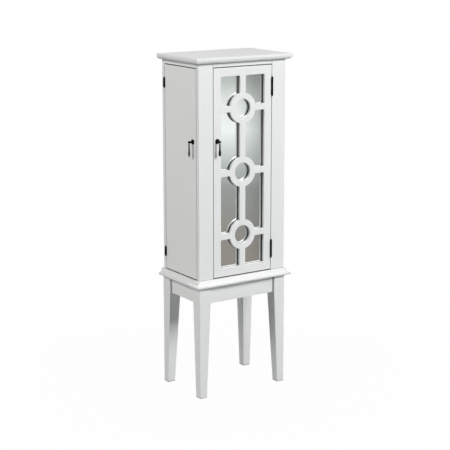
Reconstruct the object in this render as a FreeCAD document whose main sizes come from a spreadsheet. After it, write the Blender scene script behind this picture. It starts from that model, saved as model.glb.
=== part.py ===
"""Jewelry mirror cabinet on a four-legged stand, with a fretwork mirror door and two side doors.

Millimetres. +Z is up and the front door faces -Y. The origin is on the floor, under the middle
of the whole cabinet. Sizes come from the sheet "dims"; places are worked out from the same cells.
"""

import FreeCAD, Part
import math
import os
import Sketcher

Vector = FreeCAD.Vector
Rotation = FreeCAD.Rotation

DRIVING_SIZES = {
    # whole cabinet
    "total_height": 1277,
    "cabinet_width": 384,
    "cabinet_depth": 252,
    "arris": 0.8,
    # top panel
    "top_thickness": 21,
    "top_overhang": 20,
    "top_rear_overhang": 6,
    "top_lower_radius": 15,
    "top_upper_radius": 2,
    # base plate and its moulded edge
    "stand_height": 430.5,
    "base_thickness": 26,
    "base_overhang": 21,
    "base_rear_overhang": 5,
    "ovolo_fillet": 2,
    "ovolo_out": 9,
    "ovolo_drop": 6,
    "ovolo_radius": 8,
    "cove_radius": 12,
    "nose_height": 9.5,
    "nose_upper_radius": 2.5,
    "nose_lower_radius": 3.5,
    # legs and aprons
    "leg_outset_side": 1,
    "leg_outset_front": 4,
    "leg_square": 47,
    "foot_square": 30,
    "apron_height": 66.5,
    "apron_thickness": 18,
    "apron_recess": 9,
    "block_side": 42,
    "block_height": 50,
    # carcass
    "stile_width": 61.5,
    "stile_thickness": 17.5,
    "post_thickness": 18,
    "post_width": 30,
    "top_rail_height": 15,
    "side_thickness": 16,
    "back_thickness": 5,
    "post_rim": 12,
    "partition_thickness": 12,
    # shelves
    "shelf_thickness": 10,
    "first_shelf_rise": 150,
    "shelf_spacing": 150,
    "shelf_setback": 12,
    "dado_depth": 4,
    "dado_clearance": 0.1,
    "lip_thickness": 6,
    "lip_height": 24,
    # ring tray
    "tray_depth": 118,
    "tray_height": 34,
    "tray_wall": 8,
    "tray_side_clearance": 1,
    "roll_spacing": 17,
    "roll_radius": 9.5,
    "roll_base": 6,
    "soft_clearance": 0.3,
    # necklace hooks
    "hook_rail_height": 30,
    "hook_rail_thickness": 9,
    "hook_rail_length": 196,
    "hook_rail_drop": 42,
    "hook_strip_thickness": 1.6,
    "hook_strip_width": 4,
    "hook_plate_height": 14,
    "hook_reach": 12,
    "hook_tip_height": 8,
    "hook_spacing": 32,
    # doors
    "door_end_gap": 3,
    "latch_gap": 1.7,
    "hinge_gap": 1.2,
    "front_door_thickness": 19,
    "fret_thickness": 12,
    "door_frame_width": 32.5,
    "rebate_lap": 8,
    "centre_bar_width": 25,
    "cross_bar_height": 23,
    "ring_outer_radius": 57,
    "ring_inner_radius": 34,
    "ring_spacing": 237,
    "window_corner_radius": 4.5,
    "glass_clearance": 0.5,
    "mirror_thickness": 3,
    "backing_thickness": 3,
    "clip_length": 19,
    "clip_width": 11,
    "clip_thickness": 1.5,
    "clip_corner": 3,
    # catches, which stand above the lip of one of the shelves
    "catch_rise": 7.5,
    "catch_height": 46,
    "catch_width": 14,
    "catch_depth": 16,
    "catch_gap": 0.3,
    "strike_height": 38,
    "strike_width": 11,
    "strike_thickness": 1.2,
    # hinges
    "barrel_radius": 3.3,
    "barrel_standoff": 0.2,
    "hinge_pin_radius": 1.5,
    "pin_clearance": 0.05,
    "tab_bore_gap": 0.15,
    "leaf_thickness": 1,
    "leaf_gap": 0.2,
    "leaf_reach": 16,
    "knuckle_gap": 0.2,
    "front_hinge_height": 63.5,
    "front_hinge_inset": 80.5,
    "front_tip_radius": 2.5,
    "front_tip_height": 4.4,
    "side_hinge_height": 35,
    "side_hinge_inset": 67,
    "side_pin_overhang": 3,
    # drop pulls
    "pull_height": 972,
    "side_pull_inset": 21.5,
    "rosette_radius": 9.5,
    "rosette_rim": 1.6,
    "rosette_step_radius": 6,
    "rosette_step_height": 2.4,
    "neck_radius": 3,
    "pull_standoff": 16.5,
    "fork_reach": 3.6,
    "fork_half_height": 3.6,
    "fork_depth": 3.8,
    "fork_web": 2,
    "fork_corner": 1.4,
    "cheek_thickness": 1.6,
    "cheek_gap": 4,
    "eye_top": 2.9,
    "eye_clearance": 0.2,
    "swing_pin_radius": 0.9,
    "drop_thickness": 3.6,
    "drop_arris": 0.7,
    "stem_drop": 20.2,
    "flare_radius": 30,
    "shoulder_width": 7.3,
    "shoulder_drop": 30.9,
    "flank_radius": 29.6,
    "bulb_end_width": 8.8,
    "bulb_end_drop": 49.7,
    "bulb_end_radius": 4.6,
}

SHELF_COUNT = 4
RING_ROLL_COUNT = 6
HOOK_COUNT = 6
KNUCKLE_COUNT = 3
SHELVES_BELOW_CATCH = 3
CLIP_ROWS = 4


# ---------------------------------------------------------------- sizes with their formulas

class Size:
    """A length worked out from the sheet: its number, and the formula a property is bound to."""

    def __init__(self, number, formula):
        self.number = number
        self.formula = formula

    def joined(self, sign, other, number):
        return Size(number, f"({self.formula} {sign} {as_size(other).formula})")

    def __add__(self, other):
        return self.joined("+", other, self.number + as_size(other).number)

    def __sub__(self, other):
        return self.joined("-", other, self.number - as_size(other).number)

    def __mul__(self, other):
        return self.joined("*", other, self.number * as_size(other).number)

    def __truediv__(self, other):
        return self.joined("/", other, self.number / as_size(other).number)

    def __radd__(self, other):
        return as_size(other) + self

    def __rsub__(self, other):
        return as_size(other) - self

    def __rmul__(self, other):
        return as_size(other) * self

    def __neg__(self):
        return as_size(0) - self


def as_size(value):
    return value if isinstance(value, Size) else Size(float(value), repr(value))


class Sizes:
    """The cells of the sheet, one attribute for each alias."""


doc = FreeCAD.newDocument("jewelry_mirror_cabinet")
sheet = doc.addObject("Spreadsheet::Sheet", "dims")
dim = Sizes()
for row, (alias, value) in enumerate(DRIVING_SIZES.items(), start=1):
    sheet.set(f"A{row}", alias)
    sheet.set(f"B{row}", str(value))
    sheet.setAlias(f"B{row}", alias)
    setattr(dim, alias, Size(float(value), f"dims.{alias}"))
doc.recompute()

# ---------------------------------------------------------------- places shared by many pieces

half_width = dim.cabinet_width / 2
half_depth = dim.cabinet_depth / 2
base_top = dim.stand_height + dim.base_thickness
box_top = dim.total_height - dim.top_thickness
box_height = box_top - base_top
half_stand_width = half_width + dim.leg_outset_side
half_stand_depth = half_depth + dim.leg_outset_front
inner_half = half_width - dim.stile_width
stile_rear = -half_depth + dim.stile_thickness
post_front = half_depth - dim.post_thickness
back_front = half_depth - dim.back_thickness
side_inner = half_width - dim.side_thickness
partition_outer = inner_half + dim.partition_thickness

door_bottom = base_top + dim.door_end_gap
door_top = box_top - dim.top_rail_height - dim.door_end_gap
door_height = door_top - door_bottom
front_door_left = -inner_half + dim.latch_gap
front_door_width = 2 * inner_half - dim.latch_gap - dim.hinge_gap
front_door_back = -half_depth + dim.front_door_thickness
side_door_front = stile_rear + dim.latch_gap
side_door_length = post_front - dim.hinge_gap - side_door_front

pin_standoff = dim.barrel_radius + dim.barrel_standoff
front_pin_x = inner_half - dim.hinge_gap / 2
side_pin_y = post_front - dim.hinge_gap / 2
leaf_sink = dim.leaf_gap / 2 + dim.leaf_thickness - dim.hinge_gap / 2
leaf_seat = dim.leaf_reach - pin_standoff
front_hinge_heights = (door_bottom + dim.front_hinge_inset, door_top - dim.front_hinge_inset)
side_hinge_heights = (door_bottom + dim.side_hinge_inset, door_top - dim.side_hinge_inset)
front_pull_x = front_door_left + dim.door_frame_width / 2
side_pull_y = side_door_front + dim.side_pull_inset
shelf_front = front_door_back + dim.shelf_setback
catch_shelf = base_top + dim.first_shelf_rise + (SHELVES_BELOW_CATCH - 1) * dim.shelf_spacing
catch_bottom = catch_shelf + dim.lip_height + dim.catch_rise

# the whole cabinet is moved so that the middle of its front and rear reach is at the origin
middle_shift = (dim.base_overhang - dim.top_rear_overhang) / 2

TURN_BY_DOOR = {"front": 0, "left": -90, "right": 90}


# ---------------------------------------------------------------- shared ways of making

nodes = []


def bind(thing, prop, size):
    thing.setExpression(prop, as_size(size).formula)


def bind_place(thing, x, y, z, rotation=None):
    if rotation is not None:
        thing.Placement = FreeCAD.Placement(Vector(0, 0, 0), rotation)
    bind(thing, "Placement.Base.x", x)
    bind(thing, "Placement.Base.y", y)
    bind(thing, "Placement.Base.z", z)


def keep(node):
    """Count a finished object as a sub-part, whose label names its file."""
    node.Label = node.Name
    nodes.append(node)
    return node


def new_body(name, x, y, z, rotation=None):
    body = doc.addObject("PartDesign::Body", name)
    bind_place(body, x, y + middle_shift, z, rotation)
    return body


def add_block(body, name, corner, extent, kind="PartDesign::AdditiveBox"):
    block = body.newObject(kind, name)
    for prop, size in zip(("Length", "Width", "Height"), extent):
        bind(block, prop, size)
    bind_place(block, *corner)
    return block


def cut_block(body, name, corner, extent):
    return add_block(body, name, corner, extent, "PartDesign::SubtractiveBox")


def edges_where(feature, wanted):
    """Names of the edges of a feature's shape that pass a test."""
    doc.recompute()
    found = []
    for number, edge in enumerate(feature.Shape.Edges, start=1):
        if wanted(edge):
            found.append(f"Edge{number}")
    return found


def runs_along(direction, steepness=0.95):
    """Test for straight edges that run along an axis."""
    axis = {"x": Vector(1, 0, 0), "y": Vector(0, 1, 0), "z": Vector(0, 0, 1)}[direction]

    def wanted(edge):
        start, end = edge.Vertexes[0].Point, edge.Vertexes[-1].Point
        run = end - start
        return run.Length > 0.01 and abs(run.normalize().dot(axis)) > steepness

    return wanted


def ease_edges(body, feature, size, wanted, kind="PartDesign::Chamfer", prop="Size"):
    """Break or round the edges that pass a test."""
    edges = edges_where(feature, wanted)
    eased = body.newObject(kind, f"{body.Name}_{kind[12:].lower()}")
    eased.Base = (feature, edges)
    bind(eased, prop, size)
    return eased


def round_edges(body, feature, size, wanted):
    return ease_edges(body, feature, size, wanted, "PartDesign::Fillet", "Radius")


def board(name, corner, extent, grain="z", cuts=()):
    """A board with its long arrises broken, and any housings cut into it afterwards."""
    body = new_body(name, *corner)
    block = add_block(body, f"{name}_board", (0, 0, 0), extent)
    ease_edges(body, block, dim.arris, runs_along(grain))
    for number, (cut_corner, cut_extent) in enumerate(cuts, start=1):
        cut_block(body, f"{name}_housing_{number}", cut_corner, cut_extent)
    return keep(body)


def new_sketch(body, name, plane_role):
    sketch = body.newObject("Sketcher::SketchObject", name)
    plane = [item for item in body.Origin.OriginFeatures if item.Role == plane_role][0]
    sketch.AttachmentSupport = [(plane, "")]
    sketch.MapMode = "FlatFace"
    return sketch


def bind_constraint(sketch, kind, places, size):
    size = as_size(size)
    index = sketch.addConstraint(Sketcher.Constraint(kind, *places, size.number))
    sketch.setExpression(f"Constraints[{index}]", size.formula)


def minor_arc(start, end, radius, bend):
    """Arc of under a half turn; an outward one has its centre to the left of the way along."""
    chord = end - start
    rise = math.sqrt(radius**2 - (chord.Length / 2) ** 2)
    left = Vector(-chord.y, chord.x, 0).normalize()
    centre = (start + end) / 2 + left * (rise if bend == "out" else -rise)
    first, last = (start, end) if bend == "out" else (end, start)
    angles = [math.atan2(point.y - centre.y, point.x - centre.x) for point in (first, last)]
    return Part.ArcOfCircle(Part.Circle(centre, Vector(0, 0, 1), radius), *angles)


def draw_outline(sketch, corners):
    """Closed outline. A corner is (across, up), or (across, up, radius, bend) before an arc."""
    points = [Vector(as_size(c[0]).number, as_size(c[1]).number, 0) for c in corners]
    first_edge = sketch.GeometryCount
    ends = []
    for index, corner in enumerate(corners):
        start, end = points[index], points[(index + 1) % len(points)]
        if len(corner) == 2:
            sketch.addGeometry(Part.LineSegment(start, end))
            ends.append((1, 2))
        else:
            radius, bend = as_size(corner[2]), corner[3]
            sketch.addGeometry(minor_arc(start, end, radius.number, bend))
            ends.append((1, 2) if bend == "out" else (2, 1))
    for index, corner in enumerate(corners):
        following = (index + 1) % len(corners)
        this_edge, next_edge = first_edge + index, first_edge + following
        link = (this_edge, ends[index][1], next_edge, ends[following][0])
        sketch.addConstraint(Sketcher.Constraint("Coincident", *link))
        bind_constraint(sketch, "DistanceX", (-1, 1, this_edge, ends[index][0]), corner[0])
        bind_constraint(sketch, "DistanceY", (-1, 1, this_edge, ends[index][0]), corner[1])
        if len(corner) > 2:
            bind_constraint(sketch, "Radius", (this_edge,), corner[2])


def draw_circle(sketch, across, up, radius):
    centre = Vector(as_size(across).number, as_size(up).number, 0)
    circle = Part.Circle(centre, Vector(0, 0, 1), as_size(radius).number)
    index = sketch.addGeometry(circle)
    bind_constraint(sketch, "DistanceX", (-1, 1, index, 3), across)
    bind_constraint(sketch, "DistanceY", (-1, 1, index, 3), up)
    bind_constraint(sketch, "Radius", (index,), radius)


def pad(body, sketch, length, towards_normal=True, both_ways=False):
    feature = body.newObject("PartDesign::Pad", f"{sketch.Name}_pad")
    feature.Profile = sketch
    feature.Reversed = not towards_normal
    feature.Midplane = both_ways
    bind(feature, "Length", length)
    return feature


def pocket_through(body, sketch):
    feature = body.newObject("PartDesign::Pocket", f"{sketch.Name}_pocket")
    feature.Profile = sketch
    feature.Type = "ThroughAll"
    feature.Midplane = True
    return feature


def turn_profile(body, sketch):
    """Turn a section round the up axis of its sketch."""
    feature = body.newObject("PartDesign::Revolution", f"{sketch.Name}_turning")
    feature.Profile = sketch
    feature.ReferenceAxis = (sketch, ["V_Axis"])
    feature.Angle = 360
    return feature


def axis_of(body, role):
    return [item for item in body.Origin.OriginFeatures if item.Role == role][0]


def repeat(body, features, role, spacing, count):
    """Repeat features along an axis of the body; the pattern becomes the body's tip."""
    pattern = body.newObject("PartDesign::LinearPattern", f"{features[0].Name}_row")
    pattern.Originals = features
    pattern.Direction = (axis_of(body, role), [""])
    pattern.Occurrences = count
    bind(pattern, "Length", (count - 1) * spacing)
    body.Tip = pattern
    return pattern


def group(name, members):
    """Like pieces that share one sub-part, each still a solid of its own."""
    doc.recompute()
    compound = doc.addObject("Part::Compound", name)
    compound.Links = members
    return keep(compound)


# ---------------------------------------------------------------- stand

def make_leg(name, x, y, quarter_turns):
    """Square at the aprons, with its two inner faces tapered to the foot."""
    body = new_body(name, x, y, 0, Rotation(Vector(0, 0, 1), 90 * quarter_turns))
    square = dim.leg_square
    add_block(body, f"{name}_blank", (0, 0, 0), (square, square, dim.stand_height))
    taper_top = dim.stand_height - dim.apron_height
    taper = ((dim.foot_square, 0), (square, 0), (square, taper_top))
    for plane_role in ("XZ_Plane", "YZ_Plane"):
        sketch = new_sketch(body, f"{name}_taper_{plane_role[:2].lower()}", plane_role)
        draw_outline(sketch, taper)
        feature = pocket_through(body, sketch)

    def outer_arris(edge):
        box = edge.BoundBox
        return runs_along("z")(edge) and min(box.XMax, box.YMax) < 0.01

    ease_edges(body, feature, dim.arris, outer_arris)
    keep(body)


def make_stand():
    make_leg("front_left_leg", -half_stand_width, -half_stand_depth, 0)
    make_leg("front_right_leg", half_stand_width, -half_stand_depth, 1)
    make_leg("rear_right_leg", half_stand_width, half_stand_depth, 2)
    make_leg("rear_left_leg", -half_stand_width, half_stand_depth, 3)

    apron_bottom = dim.stand_height - dim.apron_height
    across = 2 * (half_stand_width - dim.leg_square)
    along = 2 * (half_stand_depth - dim.leg_square)
    front_y = -half_stand_depth + dim.apron_recess
    rear_y = half_stand_depth - dim.apron_recess - dim.apron_thickness
    left_x = -half_stand_width + dim.apron_recess
    right_x = half_stand_width - dim.apron_recess - dim.apron_thickness
    long_apron = (across, dim.apron_thickness, dim.apron_height)
    short_apron = (dim.apron_thickness, along, dim.apron_height)
    board("front_apron", (-across / 2, front_y, apron_bottom), long_apron, "x")
    board("rear_apron", (-across / 2, rear_y, apron_bottom), long_apron, "x")
    board("left_apron", (left_x, -along / 2, apron_bottom), short_apron, "y")
    board("right_apron", (right_x, -along / 2, apron_bottom), short_apron, "y")


def make_corner_blocks():
    """Triangular blocks glued across the inner corners of legs and aprons, under the base plate."""
    inner_x = half_stand_width - dim.leg_square
    inner_y = half_stand_depth - dim.leg_square
    blocks = []
    for turns, (side_x, side_y) in enumerate(((-1, -1), (1, -1), (1, 1), (-1, 1))):
        place = (side_x * inner_x, side_y * inner_y, dim.stand_height - dim.block_height)
        body = new_body(f"corner_block_{turns + 1}", *place, Rotation(Vector(0, 0, 1), 90 * turns))
        sketch = new_sketch(body, f"corner_block_outline_{turns + 1}", "XY_Plane")
        flat = dim.leg_square - dim.apron_recess - dim.apron_thickness
        outline = (
            (0, 0),
            (0, -flat),
            (dim.block_side, -flat),
            (-flat, dim.block_side),
            (-flat, 0),
        )
        draw_outline(sketch, outline)
        pad(body, sketch, dim.block_height)
        blocks.append(body)
    group("corner_blocks", blocks)


# ---------------------------------------------------------------- moulded plates

def moulded_edge(face, side, descending=False, cut_away=False):
    """Corners along the base moulding: nosing, cove and ovolo, out to face on one side.

    What is cut away outside the moulding bends the other way.
    """
    swelling, hollow = ("in", "out") if cut_away else ("out", "in")
    ovolo_foot = dim.base_overhang - dim.ovolo_out
    ovolo_head = dim.base_overhang - dim.ovolo_fillet
    insets_and_heights = [
        (dim.nose_lower_radius, 0),
        (0, dim.nose_lower_radius),
        (0, dim.nose_height - dim.nose_upper_radius),
        (dim.nose_upper_radius, dim.nose_height),
        (ovolo_foot, dim.base_thickness - dim.ovolo_drop),
        (ovolo_head, dim.base_thickness),
    ]
    arcs = [
        (dim.nose_lower_radius, swelling),
        (),
        (dim.nose_upper_radius, swelling),
        (dim.cove_radius, hollow),
        (dim.ovolo_radius, swelling),
    ]
    points = [(side * (face - inset), height) for inset, height in insets_and_heights]
    if descending:
        points.reverse()
        arcs.reverse()
    return [point + arc for point, arc in zip(points, arcs)] + [points[-1]]


def make_base_plate():
    """Floor of the cabinet, moulded on the front and both ends."""
    body = new_body("base_plate", 0, 0, dim.stand_height)
    end = half_width + dim.base_overhang
    front = half_depth + dim.base_overhang
    section = new_sketch(body, "base_plate_section", "XZ_Plane")
    draw_outline(section, moulded_edge(end, 1) + moulded_edge(end, -1, descending=True))
    bind(section, "AttachmentOffset.Base.z", -(half_depth + dim.base_rear_overhang))
    pad(body, section, dim.cabinet_depth + dim.base_overhang + dim.base_rear_overhang)

    cut = new_sketch(body, "base_plate_front_moulding", "YZ_Plane")
    beyond = front + dim.base_thickness
    around = [(-beyond, 2 * dim.base_thickness), (-beyond, -dim.base_thickness)]
    lowest = (-(front - dim.nose_lower_radius), -dim.base_thickness)
    highest = (-(half_depth + dim.ovolo_fillet), 2 * dim.base_thickness)
    moulding = moulded_edge(front, -1, cut_away=True)
    draw_outline(cut, [lowest, *moulding, highest, *around])
    pocket_through(body, cut)
    keep(body)


def make_top_panel():
    """Top with a sharp upper edge, rounded under on the front and both ends."""
    width = dim.cabinet_width + 2 * dim.top_overhang
    depth = dim.cabinet_depth + dim.top_overhang + dim.top_rear_overhang
    body = new_body("top_panel", -width / 2, -half_depth - dim.top_overhang, box_top)
    blank = add_block(body, "top_panel_blank", (0, 0, 0), (width, depth, dim.top_thickness))
    rear = depth.number

    def lower_moulded(edge):
        box = edge.BoundBox
        return box.ZMax < 0.01 and box.YMin < rear - 0.01

    lower = round_edges(body, blank, dim.top_lower_radius, lower_moulded)
    lower.Label = "top_panel_under_round"

    def upper(edge):
        box = edge.BoundBox
        return box.ZMin > dim.top_thickness.number - 0.01 and box.YMin < rear - 0.01

    round_edges(body, lower, dim.top_upper_radius, upper)
    keep(body)


# ---------------------------------------------------------------- carcass

def hinge_housings(seat_corner, seat_extent, heights, hinge_height):
    """Two shallow housings for hinge leaves; the corner's height is filled in for each hinge."""
    spare = dim.dado_clearance
    housings = []
    for middle in heights:
        x, y, bottom = seat_corner
        z = middle - bottom - hinge_height / 2 - spare
        housings.append(((x, y, z), (*seat_extent, hinge_height + 2 * spare)))
    return housings


def make_carcass():
    stile = (dim.stile_width, dim.stile_thickness, box_height)
    board("left_front_stile", (-half_width, -half_depth, base_top), stile)
    seat = (leaf_sink, leaf_seat + dim.dado_clearance)
    corner = (0, 0, base_top)
    housings = hinge_housings(corner, seat, front_hinge_heights, dim.front_hinge_height)
    board("right_front_stile", (inner_half, -half_depth, base_top), stile, cuts=housings)

    post = (dim.post_width, dim.post_thickness, box_height)
    rebate_depth = dim.back_thickness
    rebate = (dim.post_width - dim.post_rim, rebate_depth, box_height)
    rebate_y = dim.post_thickness - rebate_depth
    seat = (leaf_seat + dim.dado_clearance, leaf_sink)
    for name, x, rebate_x, seat_x in (
        ("left_rear_post", -half_width, dim.post_rim, 0),
        ("right_rear_post", half_width - dim.post_width, 0, dim.post_width - seat[0]),
    ):
        corner = (seat_x, 0, base_top)
        housings = hinge_housings(corner, seat, side_hinge_heights, dim.side_hinge_height)
        housings.append(((rebate_x, rebate_y, 0), rebate))
        board(name, (x, post_front, base_top), post, cuts=housings)

    rail_bottom = box_top - dim.top_rail_height
    front_rail = (2 * inner_half, dim.stile_thickness, dim.top_rail_height)
    board("front_top_rail", (-inner_half, -half_depth, rail_bottom), front_rail, "x")
    side_rail = (dim.side_thickness, post_front - stile_rear, dim.top_rail_height)
    board("left_top_rail", (-half_width, stile_rear, rail_bottom), side_rail, "y")
    board("right_top_rail", (side_inner, stile_rear, rail_bottom), side_rail, "y")

    back_width = dim.cabinet_width - 2 * dim.post_rim
    back = (back_width, dim.back_thickness, box_height)
    board("back_panel", (-back_width / 2, back_front, base_top), back)


def make_partition(name, x, dado_x):
    """Wall between the front space and a side space, housed for the shelves."""
    body = new_body(name, x, stile_rear, base_top)
    depth = back_front - stile_rear
    add_block(body, f"{name}_board", (0, 0, 0), (dim.partition_thickness, depth, box_height))
    dado_height = dim.shelf_thickness + 2 * dim.dado_clearance
    first = dim.first_shelf_rise - dim.dado_clearance
    start = shelf_front - stile_rear - dim.dado_clearance
    dado = cut_block(
        body, f"{name}_dado", (dado_x, start, first), (dim.dado_depth, depth - start, dado_height)
    )
    repeat(body, [dado], "Z_Axis", dim.shelf_spacing, SHELF_COUNT)
    keep(body)


def make_interior():
    make_partition("left_partition", -partition_outer, dim.partition_thickness - dim.dado_depth)
    make_partition("right_partition", inner_half, 0)

    housed = dim.dado_depth - dim.dado_clearance
    shelf_width = 2 * (inner_half + housed)
    shelf_depth = back_front - shelf_front
    lips = []
    for number in range(SHELF_COUNT):
        height = base_top + dim.first_shelf_rise + number * dim.shelf_spacing
        extent = (shelf_width, shelf_depth, dim.shelf_thickness)
        board(f"shelf_{number + 1}", (-shelf_width / 2, shelf_front, height), extent, "x")

        lip_width = 2 * inner_half
        lip = new_body(f"shelf_lip_{number + 1}", -inner_half, shelf_front - dim.lip_thickness, height)
        size = (lip_width, dim.lip_thickness, dim.lip_height)
        block = add_block(lip, f"shelf_lip_{number + 1}_strip", (0, 0, 0), size)
        ease_edges(lip, block, dim.arris, runs_along("x"))
        lips.append(lip)
    group("shelf_lips", lips)


def make_ring_tray():
    """Open box on the cabinet floor, with a pad of soft rolls that rings are pushed between."""
    width = 2 * (inner_half - dim.tray_side_clearance)
    tray = new_body("ring_tray", -width / 2, shelf_front, base_top)
    add_block(tray, "ring_tray_blank", (0, 0, 0), (width, dim.tray_depth, dim.tray_height))
    wall = dim.tray_wall
    inside = (width - 2 * wall, dim.tray_depth - 2 * wall, dim.tray_height - wall)
    cut_block(tray, "ring_tray_inside", (wall, wall, wall), inside)
    keep(tray)

    roll_span = (RING_ROLL_COUNT - 1) * dim.roll_spacing
    start = shelf_front + dim.tray_depth / 2 - roll_span / 2
    length = inside[0] - 2 * dim.soft_clearance
    rolls = new_body("ring_rolls", -length / 2, start, base_top + wall + dim.soft_clearance)
    sketch = new_sketch(rolls, "ring_rolls_section", "YZ_Plane")
    half = dim.roll_spacing / 2
    corners = [(roll_span + half, 0)]
    for number in range(RING_ROLL_COUNT, 0, -1):
        edge = (number - 1) * dim.roll_spacing + half
        corners.append((edge, dim.roll_base, dim.roll_radius, "out"))
    corners.append((-half, dim.roll_base))
    corners.append((-half, 0))
    draw_outline(sketch, corners)
    pad(rolls, sketch, length)
    keep(rolls)


def make_hooks(side_name, side):
    """Rail on the outer face of a partition, with bent strip hooks for necklaces."""
    rail_z = box_top - dim.hook_rail_drop - dim.hook_rail_height
    rail = (dim.hook_rail_thickness, dim.hook_rail_length, dim.hook_rail_height)
    rail_x = partition_outer if side > 0 else -partition_outer - dim.hook_rail_thickness
    middle_y = (stile_rear + back_front) / 2
    board(f"{side_name}_hook_rail", (rail_x, middle_y - dim.hook_rail_length / 2, rail_z), rail, "y")

    face = side * (partition_outer + dim.hook_rail_thickness)
    turned = Rotation(Vector(0, 0, 1), 0 if side > 0 else 180)
    first_y = middle_y - (HOOK_COUNT - 1) * dim.hook_spacing / 2
    bottom = rail_z + (dim.hook_rail_height - dim.hook_plate_height) / 2
    strip, reach = dim.hook_strip_thickness, dim.hook_reach
    side_view = (
        (0, 0),
        (reach, 0),
        (reach, dim.hook_tip_height),
        (reach - strip, dim.hook_tip_height),
        (reach - strip, strip),
        (strip, strip),
        (strip, dim.hook_plate_height),
        (0, dim.hook_plate_height),
    )
    hooks = []
    for number in range(HOOK_COUNT):
        name = f"{side_name}_hook_{number + 1}"
        body = new_body(name, face, first_y + number * dim.hook_spacing, bottom, turned)
        sketch = new_sketch(body, f"{name}_side_view", "XZ_Plane")
        draw_outline(sketch, side_view)
        pad(body, sketch, dim.hook_strip_width, both_ways=True)
        hooks.append(body)
    group(f"{side_name}_necklace_hooks", hooks)


# ---------------------------------------------------------------- doors

def make_front_door():
    """One-piece fretwork frame: rim, centre bar, cross bars and rings, rebated for the mirror."""
    body = new_body("front_door_frame", front_door_left, -half_depth, door_bottom)
    width, thickness = front_door_width, dim.front_door_thickness
    rim, fret = dim.door_frame_width, dim.fret_thickness
    add_block(body, "door_blank", (0, 0, 0), (width, thickness, door_height))
    window = (width - 2 * rim, thickness, door_height - 2 * rim)
    cut_block(body, "door_window", (rim, 0, rim), window)
    rebate_edge = rim - dim.rebate_lap
    rebate = (width - 2 * rebate_edge, thickness - fret, door_height - 2 * rebate_edge)
    cut_block(body, "door_mirror_rebate", (rebate_edge, fret, rebate_edge), rebate)

    middle_x = width / 2
    middle_z = door_height / 2
    lowest_ring = middle_z - dim.ring_spacing
    bar = (dim.centre_bar_width, fret, window[2])
    add_block(body, "centre_bar", (middle_x - dim.centre_bar_width / 2, 0, rim), bar)
    cross = (window[0], fret, dim.cross_bar_height)
    cross_bar = add_block(
        body, "cross_bar", (rim, 0, lowest_ring - dim.cross_bar_height / 2), cross
    )
    repeat(body, [cross_bar], "Z_Axis", dim.ring_spacing, 3)
    disc_sketch = new_sketch(body, "ring_outside", "XZ_Plane")
    draw_circle(disc_sketch, middle_x, lowest_ring, dim.ring_outer_radius)
    disc = pad(body, disc_sketch, fret, towards_normal=False)
    repeat(body, [disc], "Z_Axis", dim.ring_spacing, 3)
    hole_sketch = new_sketch(body, "ring_inside", "XZ_Plane")
    draw_circle(hole_sketch, middle_x, lowest_ring, dim.ring_inner_radius)
    hole = pocket_through(body, hole_sketch)
    holes = repeat(body, [hole], "Z_Axis", dim.ring_spacing, 3)

    def window_corner(edge):
        """Corners where bars meet the rim or each other, but not where they meet a ring."""
        if not runs_along("y")(edge) or edge.BoundBox.YMin > 0.01:
            return False
        start = edge.Vertexes[0].Point
        inside_x = rim.number - 0.01 < start.x < width.number - rim.number + 0.01
        inside_z = rim.number - 0.01 < start.z < door_height.number - rim.number + 0.01
        if not (inside_x and inside_z):
            return False
        clear = dim.ring_outer_radius.number + 1
        for step in (-1, 0, 1):
            ring = Vector(middle_x.number, start.y, middle_z.number + step * dim.ring_spacing.number)
            if (start - ring).Length < clear:
                return False
        return True

    corners = round_edges(body, holes, dim.window_corner_radius, window_corner)

    def front_edge(edge):
        return edge.BoundBox.YMax < 0.01

    ease_edges(body, corners, dim.arris, front_edge)
    seat_x = width - leaf_sink
    seat = (leaf_sink, leaf_seat + dim.dado_clearance)
    housings = hinge_housings(
        (seat_x, 0, door_bottom), seat, front_hinge_heights, dim.front_hinge_height
    )
    for number, (corner, extent) in enumerate(housings, start=1):
        cut_block(body, f"door_hinge_housing_{number}", corner, extent)
    keep(body)

    inset = rebate_edge + dim.glass_clearance
    glass_width = width - 2 * inset
    glass_height = door_height - 2 * inset
    glass_corner = (front_door_left + inset, -half_depth + fret, door_bottom + inset)
    glass = (glass_width, dim.mirror_thickness, glass_height)
    board("front_mirror", glass_corner, glass)
    backing_y = glass_corner[1] + dim.mirror_thickness
    backing = (glass_width, dim.backing_thickness, glass_height)
    board("mirror_backing", (glass_corner[0], backing_y, glass_corner[2]), backing)

    clips = []
    clip_extent = (dim.clip_length, dim.clip_thickness, dim.clip_width)
    rows_apart = (door_height - 2 * rim) / CLIP_ROWS
    for row in range(CLIP_ROWS):
        clip_z = door_bottom + rim + rows_apart * (row + 0.5) - dim.clip_width / 2
        for side, clip_x in (
            ("left", front_door_left + rim - dim.clip_length),
            ("right", front_door_left + width - rim),
        ):
            clip = new_body(f"mirror_clip_{side}_{row + 1}", clip_x, front_door_back, clip_z)
            strip = add_block(clip, f"clip_strip_{side}_{row + 1}", (0, 0, 0), clip_extent)
            ease_edges(clip, strip, dim.clip_corner, runs_along("y"))
            clips.append(clip)
    group("mirror_clips", clips)


def make_side_door(side_name, side):
    """Flat slab between the front stile and the rear post, hung at the rear."""
    x = side_inner if side > 0 else -half_width
    sink_y = side_door_length - leaf_sink
    seat_x = dim.side_thickness - leaf_seat - dim.dado_clearance if side > 0 else 0
    seat = (leaf_seat + dim.dado_clearance, leaf_sink)
    housings = hinge_housings(
        (seat_x, sink_y, door_bottom), seat, side_hinge_heights, dim.side_hinge_height
    )
    slab = (dim.side_thickness, side_door_length, door_height)
    board(f"{side_name}_door_panel", (x, side_door_front, door_bottom), slab, cuts=housings)


# ---------------------------------------------------------------- hinges

def hinge_turn(door):
    """Turns a hinge from the front door's place to a side door's; it is the same upside down."""
    if door == "left":
        return Rotation(Vector(1, 1, 0), 180)
    return Rotation(Vector(0, 0, 1), TURN_BY_DOOR[door])


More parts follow.
